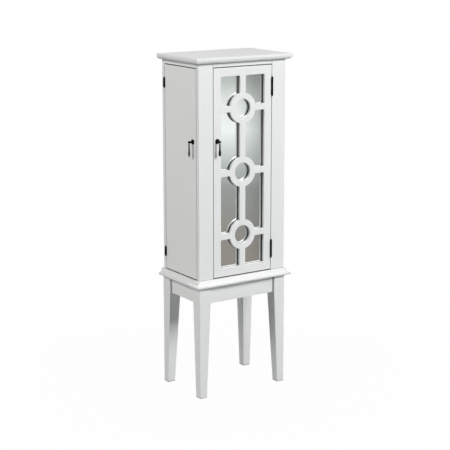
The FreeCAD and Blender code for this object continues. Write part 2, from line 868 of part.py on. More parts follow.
def pin_place(door):
    if door == "front":
        return front_pin_x, -half_depth - pin_standoff
    side = 1 if door == "right" else -1
    return side * (half_width + pin_standoff), side_pin_y


def make_leaf(name, door, middle_z, height, side, first):
    """Leaf with every other knuckle. The frame's leaf is on side +1, the door's on side -1."""
    body = new_body(name, *pin_place(door), middle_z, hinge_turn(door))
    inner = dim.leaf_gap / 2
    outer = inner + dim.leaf_thickness
    left = inner if side > 0 else -outer
    plate_start = pin_standoff + dim.pin_clearance
    plate = (dim.leaf_thickness, dim.leaf_reach - plate_start, height)
    bottom = -height / 2
    add_block(body, f"{name}_plate", (left, plate_start, bottom), plate)
    pitch = (height + dim.knuckle_gap) / KNUCKLE_COUNT
    length = pitch - dim.knuckle_gap
    tab_start = dim.hinge_pin_radius + dim.pin_clearance + dim.tab_bore_gap
    start_z = bottom + first * pitch
    tab = add_block(
        body,
        f"{name}_tab",
        (left, tab_start, start_z),
        (dim.leaf_thickness, plate_start - tab_start + dim.pin_clearance, length),
    )
    knuckle_sketch = new_sketch(body, f"{name}_knuckle", "XY_Plane")
    draw_circle(knuckle_sketch, 0, 0, dim.barrel_radius)
    draw_circle(knuckle_sketch, 0, 0, dim.hinge_pin_radius + dim.pin_clearance)
    bind(knuckle_sketch, "AttachmentOffset.Base.z", start_z)
    knuckle = pad(body, knuckle_sketch, length)
    count = (KNUCKLE_COUNT + 1 - first) // 2
    if count > 1:
        repeat(body, [tab, knuckle], "Z_Axis", 2 * pitch, count)
    return body


def make_pin(name, door, middle_z, height, overhang, tip_radius=None):
    """Pin that stands out of the barrel at both ends, with a turned tip there if it has one."""
    body = new_body(name, *pin_place(door), middle_z, hinge_turn(door))
    shaft = dim.hinge_pin_radius
    seat = height / 2 + dim.pin_clearance
    end = seat + overhang
    upper = [(shaft, end)]
    if tip_radius is not None:
        upper = [(shaft, seat), (tip_radius, seat), (tip_radius, end)]
    lower = [(radius, -z) for radius, z in reversed(upper)]
    sketch = new_sketch(body, f"{name}_section", "XZ_Plane")
    draw_outline(sketch, [(0, -end), *lower, *upper, (0, end)])
    turn_profile(body, sketch)
    return body


def make_hinges(door, heights, height, overhang, tip_radius=None):
    frame_leaves, door_leaves, pins = [], [], []
    for place, middle_z in zip(("lower", "upper"), heights):
        stem = f"{door}_{place}"
        frame_leaves.append(make_leaf(f"{stem}_frame_leaf", door, middle_z, height, 1, 0))
        door_leaves.append(make_leaf(f"{stem}_door_leaf", door, middle_z, height, -1, 1))
        pins.append(make_pin(f"{stem}_pin", door, middle_z, height, overhang, tip_radius))
    group(f"{door}_hinge_frame_leaves", frame_leaves)
    group(f"{door}_hinge_door_leaves", door_leaves)
    group(f"{door}_hinge_pins", pins)


# ---------------------------------------------------------------- pulls

def pull_place(door):
    if door == "front":
        return front_pull_x, -half_depth
    side = 1 if door == "right" else -1
    return side * half_width, side_pull_y


def make_pull(door):
    """Turned rosette and forked post on the door, and a teardrop that hangs in the fork."""
    turn = Rotation(Vector(0, 0, 1), TURN_BY_DOOR[door])
    x, y = pull_place(door)
    name = f"{door}_pull_post"
    body = new_body(name, x, y, dim.pull_height, turn)
    fork_root = dim.pull_standoff - dim.fork_depth
    web_back = fork_root - dim.fork_web
    neck_foot = dim.rosette_rim + dim.rosette_step_height
    sketch = new_sketch(body, f"{name}_section", "XY_Plane")
    section = (
        (0, 0),
        (0, -fork_root),
        (dim.neck_radius, -fork_root),
        (dim.neck_radius, -neck_foot),
        (dim.rosette_step_radius, -neck_foot),
        (dim.rosette_step_radius, -dim.rosette_rim),
        (dim.rosette_radius, -dim.rosette_rim),
        (dim.rosette_radius, 0),
    )
    draw_outline(sketch, section)
    turn_profile(body, sketch)

    fork_half_width = dim.cheek_gap / 2 + dim.cheek_thickness
    fork_end = dim.pull_standoff + dim.fork_reach
    half_height = dim.fork_half_height
    corner = (-fork_half_width, -fork_end, -half_height)
    extent = (2 * fork_half_width, fork_end - web_back, 2 * half_height)
    fork = add_block(body, f"{name}_fork", corner, extent)

    def fork_end_edge(edge):
        return runs_along("x")(edge) and edge.BoundBox.YMax < -fork_end.number + 0.01

    ease_edges(body, fork, dim.fork_corner, fork_end_edge)
    slot_corner = (-dim.cheek_gap / 2, -fork_end, -half_height)
    slot = (dim.cheek_gap, fork_end - fork_root, 2 * half_height)
    cut_block(body, f"{name}_slot", slot_corner, slot)
    pin = body.newObject("PartDesign::AdditiveCylinder", f"{name}_swing_pin")
    bind(pin, "Radius", dim.swing_pin_radius)
    bind(pin, "Height", 2 * fork_half_width)
    bind_place(pin, -fork_half_width, -dim.pull_standoff, 0, Rotation(Vector(0, 1, 0), 90))
    keep(body)

    make_drop(door, x, y, turn)


def make_drop(door, x, y, turn):
    """Flat cast teardrop, bored for the swing pin. Its own origin is the middle of the pin."""
    name = f"{door}_pull_drop"
    out = turn.multVec(Vector(0, -1, 0))
    pivot_x = x + round(out.x) * dim.pull_standoff
    pivot_y = y + round(out.y) * dim.pull_standoff
    body = new_body(name, pivot_x, pivot_y, dim.pull_height, turn)
    stem = dim.cheek_gap / 2 - dim.eye_clearance
    shoulder = dim.shoulder_width / 2
    bulb_end = dim.bulb_end_width / 2
    outline = (
        (-stem, dim.eye_top),
        (-stem, -dim.stem_drop, dim.flare_radius, "in"),
        (-shoulder, -dim.shoulder_drop, dim.flank_radius, "out"),
        (-bulb_end, -dim.bulb_end_drop, dim.bulb_end_radius, "out"),
        (bulb_end, -dim.bulb_end_drop, dim.flank_radius, "out"),
        (shoulder, -dim.shoulder_drop, dim.flare_radius, "in"),
        (stem, -dim.stem_drop),
        (stem, dim.eye_top),
    )
    sketch = new_sketch(body, f"{name}_outline", "XZ_Plane")
    draw_outline(sketch, outline)
    plate = pad(body, sketch, dim.drop_thickness, both_ways=True)

    def front_edge(edge):
        return edge.BoundBox.YMax < 0

    ease_edges(body, plate, dim.drop_arris, front_edge)
    bore = body.newObject("PartDesign::SubtractiveCylinder", f"{name}_bore")
    bind(bore, "Radius", dim.swing_pin_radius + dim.pin_clearance)
    bind(bore, "Height", dim.cheek_gap)
    bind_place(bore, -dim.cheek_gap / 2, 0, 0, Rotation(Vector(0, 1, 0), 90))
    keep(body)


# ---------------------------------------------------------------- magnetic catches

def make_catch(door):
    """Magnetic catch inside the cabinet, and the steel strike on the door that it holds."""
    height, width, depth = dim.catch_height, dim.catch_width, dim.catch_depth
    strike_bottom = catch_bottom + (height - dim.strike_height) / 2
    strike_side = (width - dim.strike_width) / 2
    gap = dim.strike_thickness + dim.catch_gap
    if door == "front":
        catch_corner = (-inner_half, front_door_back + gap, catch_bottom)
        catch_extent = (width, depth, height)
        strike_x = -inner_half + strike_side + dim.latch_gap
        strike_corner = (strike_x, front_door_back, strike_bottom)
        strike_extent = (dim.strike_width, dim.strike_thickness, dim.strike_height)
    else:
        side = 1 if door == "right" else -1
        face = side_inner - gap
        strike_face = side_inner - dim.strike_thickness
        catch_corner = (face - depth if side > 0 else -face, stile_rear, catch_bottom)
        catch_extent = (depth, width, height)
        strike_x = strike_face if side > 0 else -side_inner
        strike_corner = (strike_x, stile_rear + strike_side + dim.latch_gap, strike_bottom)
        strike_extent = (dim.strike_thickness, dim.strike_width, dim.strike_height)
    board(f"{door}_catch", catch_corner, catch_extent)
    board(f"{door}_strike", strike_corner, strike_extent, "y" if door == "front" else "x")


# ---------------------------------------------------------------- build and write

make_stand()
make_corner_blocks()
make_base_plate()
make_top_panel()
make_carcass()
make_interior()
make_ring_tray()
for hook_side in (("left", -1), ("right", 1)):
    make_hooks(*hook_side)
make_front_door()
for door_side in (("left", -1), ("right", 1)):
    make_side_door(*door_side)
front_hinge = (dim.front_hinge_height, dim.front_tip_height, dim.front_tip_radius)
make_hinges("front", front_hinge_heights, *front_hinge)
for side_door in ("left", "right"):
    make_hinges(side_door, side_hinge_heights, dim.side_hinge_height, dim.side_pin_overhang)
for pulled_door in ("front", "left", "right"):
    make_pull(pulled_door)
    make_catch(pulled_door)

doc.recompute()
failed = [item.Name for item in doc.Objects if {"Invalid", "Error"} & set(item.State)]
if failed:
    raise RuntimeError(f"failed to recompute: {failed}")
for node in nodes:
    if node.Shape.isNull() or not node.Shape.isValid() or not node.Shape.Solids:
        raise RuntimeError(f"bad shape: {node.Label}")

os.makedirs("parts", exist_ok=True)
for node in nodes:
    node.Shape.exportStep(f"parts/{node.Label}.step")
print(f"{len(nodes)} sub-parts written")
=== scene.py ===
import math

import bmesh
import bpy
from mathutils import Matrix, Vector


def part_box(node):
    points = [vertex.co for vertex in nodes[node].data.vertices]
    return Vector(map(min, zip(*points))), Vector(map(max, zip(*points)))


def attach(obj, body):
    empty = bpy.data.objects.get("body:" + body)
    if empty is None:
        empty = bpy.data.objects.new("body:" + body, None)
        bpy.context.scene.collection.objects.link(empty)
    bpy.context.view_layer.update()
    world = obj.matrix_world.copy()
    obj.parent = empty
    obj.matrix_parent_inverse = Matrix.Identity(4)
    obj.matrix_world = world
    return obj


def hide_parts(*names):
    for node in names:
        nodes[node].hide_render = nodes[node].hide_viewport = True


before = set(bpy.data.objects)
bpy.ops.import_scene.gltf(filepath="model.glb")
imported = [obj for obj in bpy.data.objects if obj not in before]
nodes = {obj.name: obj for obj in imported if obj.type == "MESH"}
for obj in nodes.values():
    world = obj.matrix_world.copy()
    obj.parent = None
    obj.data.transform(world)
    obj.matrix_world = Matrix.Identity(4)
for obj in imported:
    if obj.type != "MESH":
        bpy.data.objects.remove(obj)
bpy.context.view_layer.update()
mm = 0.001


# ---------------------------------------------------------------- camera
# The photograph looks down on the cabinet's left front corner from a little above its top, with a
# long lens. The place, turn and tilt come from fitting the cabinet's corners to the photograph.

camera_data = bpy.data.cameras.new("photo_camera")
camera_data.sensor_width = 36
camera_data.lens = 105.547
camera_data.clip_end = 60
photo_camera = bpy.data.objects.new("photo_camera", camera_data)
photo_camera.location = (-2.73106, -4.07873, 1.72768)
camera_tilt, camera_turn = math.radians(12.665), math.radians(33.809)
photo_camera.rotation_euler = (math.pi / 2 - camera_tilt, 0, -camera_turn)
bpy.context.scene.collection.objects.link(photo_camera)
bpy.context.scene.camera = photo_camera


# ---------------------------------------------------------------- studio
# A plain floor that the camera sees as white paper. The mirror sees painted light on it instead: a
# warm grey floor close by, a bright painted pool of light further off and a dimmer room behind
# that, all dimmed past a slanting line at the pool's edge.

def add_node(tree, kind, settings=None, inputs=None):
    """Adds a node, sets its properties, and fills or links its inputs."""
    node = tree.nodes.new(kind)
    for name, value in (settings or {}).items():
        setattr(node, name, value)
    for key, value in (inputs or {}).items():
        if isinstance(value, bpy.types.NodeSocket):
            tree.links.new(value, node.inputs[key])
        else:
            node.inputs[key].default_value = value
    return node


def tone_steps(tree, factor, steps):
    """A colour ramp: steps are (place, colour) pairs."""
    ramp = add_node(tree, "ShaderNodeValToRGB", inputs={"Fac": factor})
    stops = ramp.color_ramp.elements
    while len(stops) < len(steps):
        stops.new(0.5)
    for stop, (place, colour) in zip(stops, steps):
        stop.position = place
        stop.color = (*colour, 1)
    return ramp.outputs["Color"]


def map_range(tree, value, given, wanted=(0.0, 1.0), curve="LINEAR"):
    """Maps a value from the given range to the wanted one."""
    inputs = {"Value": value, "From Min": given[0], "From Max": given[1]}
    inputs.update({"To Min": wanted[0], "To Max": wanted[1]})
    return add_node(tree, "ShaderNodeMapRange", {"interpolation_type": curve}, inputs).outputs[0]


def calculate(tree, operation, *values):
    """A Math node over two or three numbers or sockets."""
    inputs = dict(enumerate(values))
    return add_node(tree, "ShaderNodeMath", {"operation": operation}, inputs).outputs[0]


def mix_shaders(tree, share, first, second):
    return add_node(tree, "ShaderNodeMixShader", inputs={0: share, 1: first, 2: second}).outputs[0]


def full_turn(steps):
    """Evenly spaced angles round a circle."""
    return [math.tau * step / steps for step in range(steps)]


FLOOR_RADIUS, FLOOR_SIDES = 14, 96
floor_mesh = bpy.data.meshes.new("floor")
rim = [
    (FLOOR_RADIUS * math.cos(turn), FLOOR_RADIUS * math.sin(turn), 0)
    for turn in full_turn(FLOOR_SIDES)
]
floor_mesh.from_pydata(rim, [], [list(range(FLOOR_SIDES))])
floor = bpy.data.objects.new("floor", floor_mesh)
bpy.context.scene.collection.objects.link(floor)

paper = bpy.data.materials.new("floor_paper")
paper.use_nodes = True
tree = paper.node_tree
tree.nodes.clear()
rays = add_node(tree, "ShaderNodeLightPath")
place = add_node(tree, "ShaderNodeTexCoord").outputs["Object"]
distance = add_node(tree, "ShaderNodeVectorMath", {"operation": "LENGTH"}, {0: place})
share = calculate(tree, "DIVIDE", distance.outputs["Value"], FLOOR_RADIUS)
seen_in_mirror = tone_steps(
    tree,
    share,
    [
        (0.12, (0.305, 0.272, 0.246)),
        (0.20, (0.300, 0.288, 0.268)),
        (0.29, (0.335, 0.350, 0.340)),
        (0.36, (0.53, 0.56, 0.56)),
        (0.48, (0.93, 0.97, 0.96)),
        (0.60, (0.86, 0.89, 0.87)),
        (0.75, (0.56, 0.59, 0.56)),
        (0.95, (0.44, 0.46, 0.44)),
    ],
)
# Painted light: past a slanting line the floor seen in the mirror glows dimmer, as at the edge of a
# pool of light.
across_light = add_node(
    tree, "ShaderNodeVectorMath", {"operation": "DOT_PRODUCT"}, {0: place, 1: (0.83, 0.557, 0)}
)
light_edge = map_range(
    tree, across_light.outputs["Value"], (-0.05, 0.25), (1.0, 0.55), "SMOOTHSTEP"
)
shaded = add_node(tree, "ShaderNodeBsdfDiffuse", inputs={"Color": (0.375, 0.395, 0.41, 1)})
white = add_node(tree, "ShaderNodeEmission", inputs={"Color": (1, 1, 1, 1), "Strength": 1.0})
mirrored = add_node(
    tree, "ShaderNodeEmission", inputs={"Color": seen_in_mirror, "Strength": light_edge}
)
paper_white = map_range(tree, share, (0.03, 0.12), (0.98, 1.0))
for_camera = calculate(tree, "MULTIPLY", rays.outputs["Is Camera Ray"], paper_white)
camera_mix = mix_shaders(tree, for_camera, shaded.outputs[0], white.outputs[0])
glossy_mix = mix_shaders(tree, rays.outputs["Is Glossy Ray"], camera_mix, mirrored.outputs[0])
add_node(tree, "ShaderNodeOutputMaterial", inputs={"Surface": glossy_mix})
floor_mesh.materials.append(paper)

world = bpy.data.worlds.new("studio")
world.use_nodes = True
bpy.context.scene.world = world
tree = world.node_tree
tree.nodes.clear()
rays = add_node(tree, "ShaderNodeLightPath")
around = add_node(tree, "ShaderNodeTexCoord").outputs["Generated"]
height = add_node(tree, "ShaderNodeSeparateXYZ", inputs={0: around}).outputs["Z"]
room = tone_steps(
    tree,
    map_range(tree, height, (-1.0, 1.0)),
    [
        (0.0, (0.30, 0.29, 0.27)),
        (0.5, (0.42, 0.43, 0.42)),
        (0.62, (0.66, 0.68, 0.68)),
        (1.0, (0.9, 0.9, 0.9)),
    ],
)
daylight = add_node(
    tree, "ShaderNodeBackground", inputs={"Color": (0.90, 0.96, 1, 1), "Strength": 0.10}
)
room_light = add_node(tree, "ShaderNodeBackground", inputs={"Color": room, "Strength": 1.0})
backdrop = add_node(tree, "ShaderNodeBackground", inputs={"Color": (1, 1, 1, 1), "Strength": 1.0})
glossy_world = mix_shaders(
    tree, rays.outputs["Is Glossy Ray"], daylight.outputs[0], room_light.outputs[0]
)
camera_world = mix_shaders(
    tree, rays.outputs["Is Camera Ray"], glossy_world, backdrop.outputs[0]
)
add_node(tree, "ShaderNodeOutputWorld", inputs={"Surface": camera_world})


def softbox(name, place, aim, size, power, tint=(1, 1, 1)):
    """A square area lamp that faces aim."""
    data = bpy.data.lights.new(name, "AREA")
    data.shape = "SQUARE"
    data.size = size
    data.energy = power
    data.color = tint
    lamp = bpy.data.objects.new(name, data)
    lamp.location = place
    lamp.rotation_euler = (Vector(aim) - Vector(place)).to_track_quat("-Z", "Y").to_euler()
    bpy.context.scene.collection.objects.link(lamp)
    return lamp


middle = (0, 0, 0.75)
softbox("front_softbox", (1.75, -4.5, 3.8), middle, 2.0, 294)
softbox("side_softbox", (-7.5, 0.18, 5.6), middle, 3.2, 490, (1, 0.985, 0.96))
back_softbox = softbox("back_softbox", (2.7, 5.6, 1.2), middle, 2.4, 115)
back_softbox.visible_glossy = False


# ---------------------------------------------------------------- stand
# Four solid legs, square above and tapered on their two inner faces, with aprons joined between
# them and set back from their outer faces. The satin white lacquer lets the grain show.

def new_material(name):
    """A material, with its node tree, its shader and the Object coordinates."""
    material = bpy.data.materials.new(name)
    material.use_nodes = True
    tree = material.node_tree
    where = add_node(tree, "ShaderNodeTexCoord").outputs["Object"]
    return material, tree, tree.nodes["Principled BSDF"], where


def noise(tree, where, scale, detail, roughness=0.5, distortion=0.0):
    """Soft noise, from 0 to 1."""
    inputs = {"Vector": where, "Scale": scale, "Detail": detail}
    inputs.update({"Roughness": roughness, "Distortion": distortion})
    return add_node(tree, "ShaderNodeTexNoise", inputs=inputs).outputs["Fac"]


def mix_colours(tree, share, first, second, blend="MIX"):
    settings = {"data_type": "RGBA", "blend_type": blend}
    return add_node(tree, "ShaderNodeMix", settings, {0: share, 6: first, 7: second}).outputs[2]


def add_bump(tree, height, strength, distance, normal=None):
    """A bump over the plain surface, or over the normal of another bump."""
    inputs = {"Height": height, "Strength": strength, "Distance": distance}
    if normal:
        inputs["Normal"] = normal
    return add_node(tree, "ShaderNodeBump", inputs=inputs).outputs[0]


def connect(tree, shader, sockets):
    """Links sockets to the shader's inputs, or sets plain numbers there."""
    for name, value in sockets.items():
        if isinstance(value, bpy.types.NodeSocket):
            tree.links.new(value, shader.inputs[name])
        else:
            shader.inputs[name].default_value = value


def along_grain(tree, where, across, along, grain):
    """Coordinates drawn out along the grain's axis: across and along are the size of one streak."""
    scale = [1 / across] * 3
    scale["XYZ".index(grain)] = 1 / along
    return add_node(tree, "ShaderNodeMapping", inputs={"Vector": where, "Scale": scale}).outputs[0]


def openness(tree, distance):
    """How open a place is, from 0 in a narrow gap to 1 on a free face."""
    inputs = {"Distance": distance}
    return add_node(tree, "ShaderNodeAmbientOcclusion", {"samples": 8}, inputs).outputs["AO"]


def white_lacquer(name, grain):
    """Satin white lacquer over wood whose grain runs along one axis. Painted shade darkens it
    nearly to black in narrow gaps, and greys it in corners and under overhangs.
    """
    material, tree, shader, where = new_material(name)
    streaks = noise(tree, along_grain(tree, where, 0.0032, 0.25, grain), 1.0, 4.0, 0.6, 0.4)
    pores = noise(tree, along_grain(tree, where, 0.0009, 0.03, grain), 1.0, 2.0)
    spray = noise(tree, where, 700.0, 1.0)
    clouds = noise(tree, where, 6.0, 2.0)
    white = (0.808, 0.812, 0.803)
    shade, thin, light = ([value * share for value in white] for share in (0.975, 0.985, 1.01))
    tone = tone_steps(tree, streaks, [(0.30, shade), (0.52, white), (0.75, light)])
    cloudiness = map_range(tree, clouds, (0.45, 0.8), (0.0, 0.5))
    coat_colour = mix_colours(tree, cloudiness, tone, (*thin, 1))
    # Painted shade: where ambient occlusion over 9 mm finds a narrow gap, the colour darkens nearly
    # to black.
    gap_painted_shade = tone_steps(
        tree,
        openness(tree, 9 * mm),
        [(0.27, (0.03, 0.03, 0.034)), (0.46, (0.66, 0.67, 0.68)), (0.62, (1, 1, 1))],
    )
    # Painted shade: a wider ambient occlusion greys corners and the faces under overhangs.
    corner_painted_shade = tone_steps(
        tree, openness(tree, 15 * mm), [(0.38, (0.42, 0.44, 0.46)), (0.76, (1, 1, 1))]
    )
    for layer in (gap_painted_shade, corner_painted_shade):
        coat_colour = mix_colours(tree, 1.0, coat_colour, layer, "MULTIPLY")
    grain_bump = add_bump(tree, streaks, 0.10, 0.5 * mm)
    pore_bump = add_bump(tree, pores, 0.12, 0.2 * mm, grain_bump)
    connect(
        tree,
        shader,
        {
            "Base Color": coat_colour,
            "Roughness": map_range(tree, clouds, (0.3, 0.7), (0.36, 0.44)),
            "Specular IOR Level": 0.42,
            "Normal": add_bump(tree, spray, 0.10, 0.1 * mm, pore_bump),
        },
    )
    return material


def new_group(name, sizes):
    """A Geometry Nodes tree on a mesh and more inputs, which are pairs of a name and a socket."""
    tree = bpy.data.node_groups.new(name, "GeometryNodeTree")
    for size, kind in [("Geometry", "Geometry"), *sizes]:
        tree.interface.new_socket(size, in_out="INPUT", socket_type=f"NodeSocket{kind}")
    tree.interface.new_socket("Geometry", in_out="OUTPUT", socket_type="NodeSocketGeometry")
    return tree, tree.nodes.new("NodeGroupInput")


def eased_edges_tree():
    """Joins a solid's triangles, and shades its faces smooth up to each edge sharper than Angle."""
    tree, given = new_group("eased_edges", [("Angle", "Float")])
    joined = add_node(
        tree,
        "GeometryNodeMergeByDistance",
        inputs={"Geometry": given.outputs["Geometry"], "Distance": 0.01 * mm},
    )
    smooth = add_node(
        tree,
        "GeometryNodeSetShadeSmooth",
        {"domain": "FACE"},
        {"Geometry": joined.outputs[0], "Shade Smooth": True},
    )
    turn = add_node(tree, "GeometryNodeInputMeshEdgeAngle").outputs["Unsigned Angle"]
    sharp = add_node(
        tree,
        "FunctionNodeCompare",
        {"data_type": "FLOAT", "operation": "GREATER_THAN"},
        {0: turn, 1: given.outputs["Angle"]},
    ).outputs[0]
    creased = add_node(
        tree,
        "GeometryNodeSetShadeSmooth",
        {"domain": "EDGE"},
        {"Geometry": smooth.outputs[0], "Selection": sharp, "Shade Smooth": False},
    )
    add_node(tree, "NodeGroupOutput", inputs={0: creased.outputs[0]})
    return tree


def set_inputs(modifier, values):
    """Sets a Geometry Nodes modifier's inputs by the identifiers of their sockets."""
    for item in modifier.node_group.interface.items_tree:
        if item.in_out == "INPUT" and item.name in values:
            modifier[item.identifier] = values[item.name]


def round_edges(piece, name, width, segments, degrees):
    """Rounds over a piece's edges that turn by more than the given degrees."""
    edge = piece.modifiers.new(name, "BEVEL")
    edge.width = width
    edge.segments = segments
    edge.limit_method = "ANGLE"
    edge.angle_limit = math.radians(degrees)
    edge.harden_normals = True


eased = eased_edges_tree()


def dress(names, material, round_over=0.0):
    """Gives solids of the frame a material, and rounds their edges over by a little."""
    for name in names:
        solid = nodes[name]
        for place in solid.material_slots:
            place.material = material
        smooth = solid.modifiers.new("eased_edges", "NODES")
        smooth.node_group = eased
        set_inputs(smooth, {"Angle": math.radians(30)})
        if round_over:
            round_edges(solid, "round_over", round_over, 2, 40)


upright = white_lacquer("white_lacquer_upright", "Z")
lengthwise = white_lacquer("white_lacquer_lengthwise", "X")
front_to_back = white_lacquer("white_lacquer_front_to_back", "Y")
dress(["front_left_leg", "front_right_leg", "rear_right_leg", "rear_left_leg"], upright, 1.0 * mm)
dress(["front_apron", "rear_apron"], lengthwise, 0.8 * mm)
dress(["left_apron", "right_apron"], front_to_back, 0.8 * mm)


# ---------------------------------------------------------------- corner blocks
# Bare softwood blocks glued into the corners under the base plate. They are only seen from below.
# Sawn, not planed, so the grain is coarse and the face is matt.

def sawn_softwood():
    material, tree, shader, where = new_material("bare_softwood")
    rings = add_node(
        tree,
        "ShaderNodeTexWave",
        {"wave_type": "BANDS", "bands_direction": "X"},
        {
            "Vector": along_grain(tree, where, 0.011, 0.15, "Z"),
            "Scale": 1.0,
            "Distortion": 3.5,
            "Detail": 3.0,
        },
    ).outputs["Fac"]
    tones = [(0.0, (0.60, 0.42, 0.24)), (0.6, (0.68, 0.50, 0.30)), (1.0, (0.48, 0.31, 0.16))]
    connect(
        tree,
        shader,
        {
            "Base Color": tone_steps(tree, rings, tones),
            "Roughness": 0.75,
            "Normal": add_bump(tree, rings, 0.3, 0.4 * mm),
        },
    )
    return material


dress(["corner_blocks"], sawn_softwood())


# ---------------------------------------------------------------- base plate and top panel
# Two solid boards, moulded along the front and both ends. The base plate carries an ovolo and a
# cove over a nosing; the top panel is sharp above and rounded under. The grain runs side to side.

dress(["base_plate"], lengthwise, 0.5 * mm)
dress(["top_panel"], lengthwise, 0.5 * mm)


# ---------------------------------------------------------------- carcass
# Wide front stiles and narrow rear posts between base and top, tied by rails, with a thin back
# panel let into the posts. Partitions behind the stiles divide off a narrow space on each side.

dress(["left_front_stile", "right_front_stile"], upright, 0.5 * mm)
dress(["left_rear_post", "right_rear_post"], upright, 0.5 * mm)
dress(["front_top_rail"], lengthwise, 0.4 * mm)
dress(["left_top_rail", "right_top_rail"], front_to_back, 0.4 * mm)
dress(["back_panel", "left_partition", "right_partition"], upright, 0.3 * mm)


# ---------------------------------------------------------------- shelves and ring tray
# Four painted shelves housed in the partitions, each with a thin lip at its front edge, over an
# open tray that stands on the floor of the cabinet.

shelves = ["shelf_1", "shelf_2", "shelf_3", "shelf_4"]
dress([*shelves, "shelf_lips", "ring_tray"], lengthwise, 0.5 * mm)


# ---------------------------------------------------------------- ring pad
# Six foam rolls covered in one piece of grey velvet, glued side by side in the tray. Rings are
# pushed into the creases between them. The velvet is drawn tight and tucked in at the ends.

ROLL_COUNT = 6
pad_low, pad_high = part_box("ring_rolls")
pad_length, pad_depth = pad_high.x - pad_low.x, pad_high.y - pad_low.y
pad_height = pad_high.z - pad_low.z


def roll_height(along, across):
    """Height of the velvet over the tray, at a share of its length and a share of its depth."""
    place = across * ROLL_COUNT
    roll = min(int(place), ROLL_COUNT - 1)
    from_crown = abs(2 * (place - roll) - 1)
    arch = (1 - min(from_crown, 1) ** 2.4) ** 0.5
    end = min(along, 1 - along) * pad_length
    tuck = 1 - 0.55 * math.exp(-((end / (2.2 * mm)) ** 1.5))
    swell = 1 - 0.035 * (0.5 + 0.5 * math.sin(along * 23 + roll * 2.1))
    pucker = 1 - 0.05 * math.exp(-end / (6 * mm)) * (0.5 + 0.5 * math.sin(across * 150))
    crease_height = 0.30 * pad_height
    return crease_height + (pad_height - crease_height) * arch * tuck * swell * pucker


LENGTH_STEPS, DEPTH_STEPS = 120, ROLL_COUNT * 16
pad_mesh = bmesh.new()
crown = []
for length_step in range(LENGTH_STEPS + 1):
    ease = length_step / LENGTH_STEPS
    along = ease - math.sin(math.tau * ease) / math.tau * 0.6  # closer steps near both ends
    row = []
    for depth_step in range(DEPTH_STEPS + 1):
        across = depth_step / DEPTH_STEPS
        place = (
            pad_low.x + along * pad_length,
            pad_low.y + across * pad_depth,
            pad_low.z + roll_height(along, across),
        )
        row.append(pad_mesh.verts.new(place))
    crown.append(row)
for first, second in zip(crown, crown[1:]):
    for step in range(DEPTH_STEPS):
        pad_mesh.faces.new((first[step], second[step], second[step + 1], first[step + 1]))
border = (
    [row[0] for row in crown]
    + crown[-1][1:]
    + [row[-1] for row in reversed(crown[:-1])]
    + list(reversed(crown[0][1:-1]))
)
foot = [pad_mesh.verts.new((vertex.co.x, vertex.co.y, pad_low.z)) for vertex in border]
for step, (top, bottom) in enumerate(zip(border, foot)):
    following = (step + 1) % len(border)
    pad_mesh.faces.new((top, bottom, foot[following], border[following]))
pad_mesh.faces.new(foot)
bmesh.ops.recalc_face_normals(pad_mesh, faces=pad_mesh.faces)
for face in pad_mesh.faces:
    face.smooth = True


def new_piece(name, mesh, material=None):
    """A bmesh or mesh as an object at the origin."""
    if isinstance(mesh, bmesh.types.BMesh):
        data = bpy.data.meshes.new(name)
        mesh.to_mesh(data)
        mesh.free()
        mesh = data
    piece = bpy.data.objects.new(name, mesh)
    bpy.context.scene.collection.objects.link(piece)
    if material:
        mesh.materials.append(material)
    return piece


def grey_velvet():
    material, tree, shader, where = new_material("grey_velvet")
    pile = noise(tree, where, 1900.0, 3.0, 0.7)
    brushed = noise(tree, where, 42.0, 2.0)
    tones = [(0.45, (0.16, 0.165, 0.18)), (0.72, (0.27, 0.275, 0.29)), (1.0, (0.40, 0.405, 0.42))]
    connect(
        tree,
        shader,
        {
            "Base Color": tone_steps(
                tree, calculate(tree, "MULTIPLY_ADD", pile, 0.5, brushed), tones
            ),
            "Roughness": 0.95,
            "Sheen Weight": 0.8,
            "Sheen Roughness": 0.35,
            "Normal": add_bump(tree, pile, 0.6, 0.5 * mm),
        },
    )
    return material


ring_pad = new_piece("velvet_ring_pad", pad_mesh, grey_velvet())
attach(ring_pad, "cabinet")
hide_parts("ring_rolls")


# ---------------------------------------------------------------- necklace hooks
# A painted rail high on the outer face of each partition carries six hooks of bent brass wire. Each
# is one wire: a leg flat against the rail, a straight reach outwards and an upturned tip.

dress(["left_hook_rail", "right_hook_rail"], front_to_back, 0.6 * mm)


def satin_brass():
    material, tree, shader, where = new_material("satin_brass")
    tarnish = noise(tree, where, 160.0, 4.0)
    tones = [(0.3, (0.60, 0.42, 0.16)), (0.7, (0.80, 0.60, 0.28))]
    connect(
        tree,
        shader,
        {
            "Base Color": tone_steps(tree, tarnish, tones),
            "Roughness": map_range(tree, tarnish, (0.0, 1.0), (0.42, 0.22)),
            "Metallic": 1.0,
        },
    )
    return material


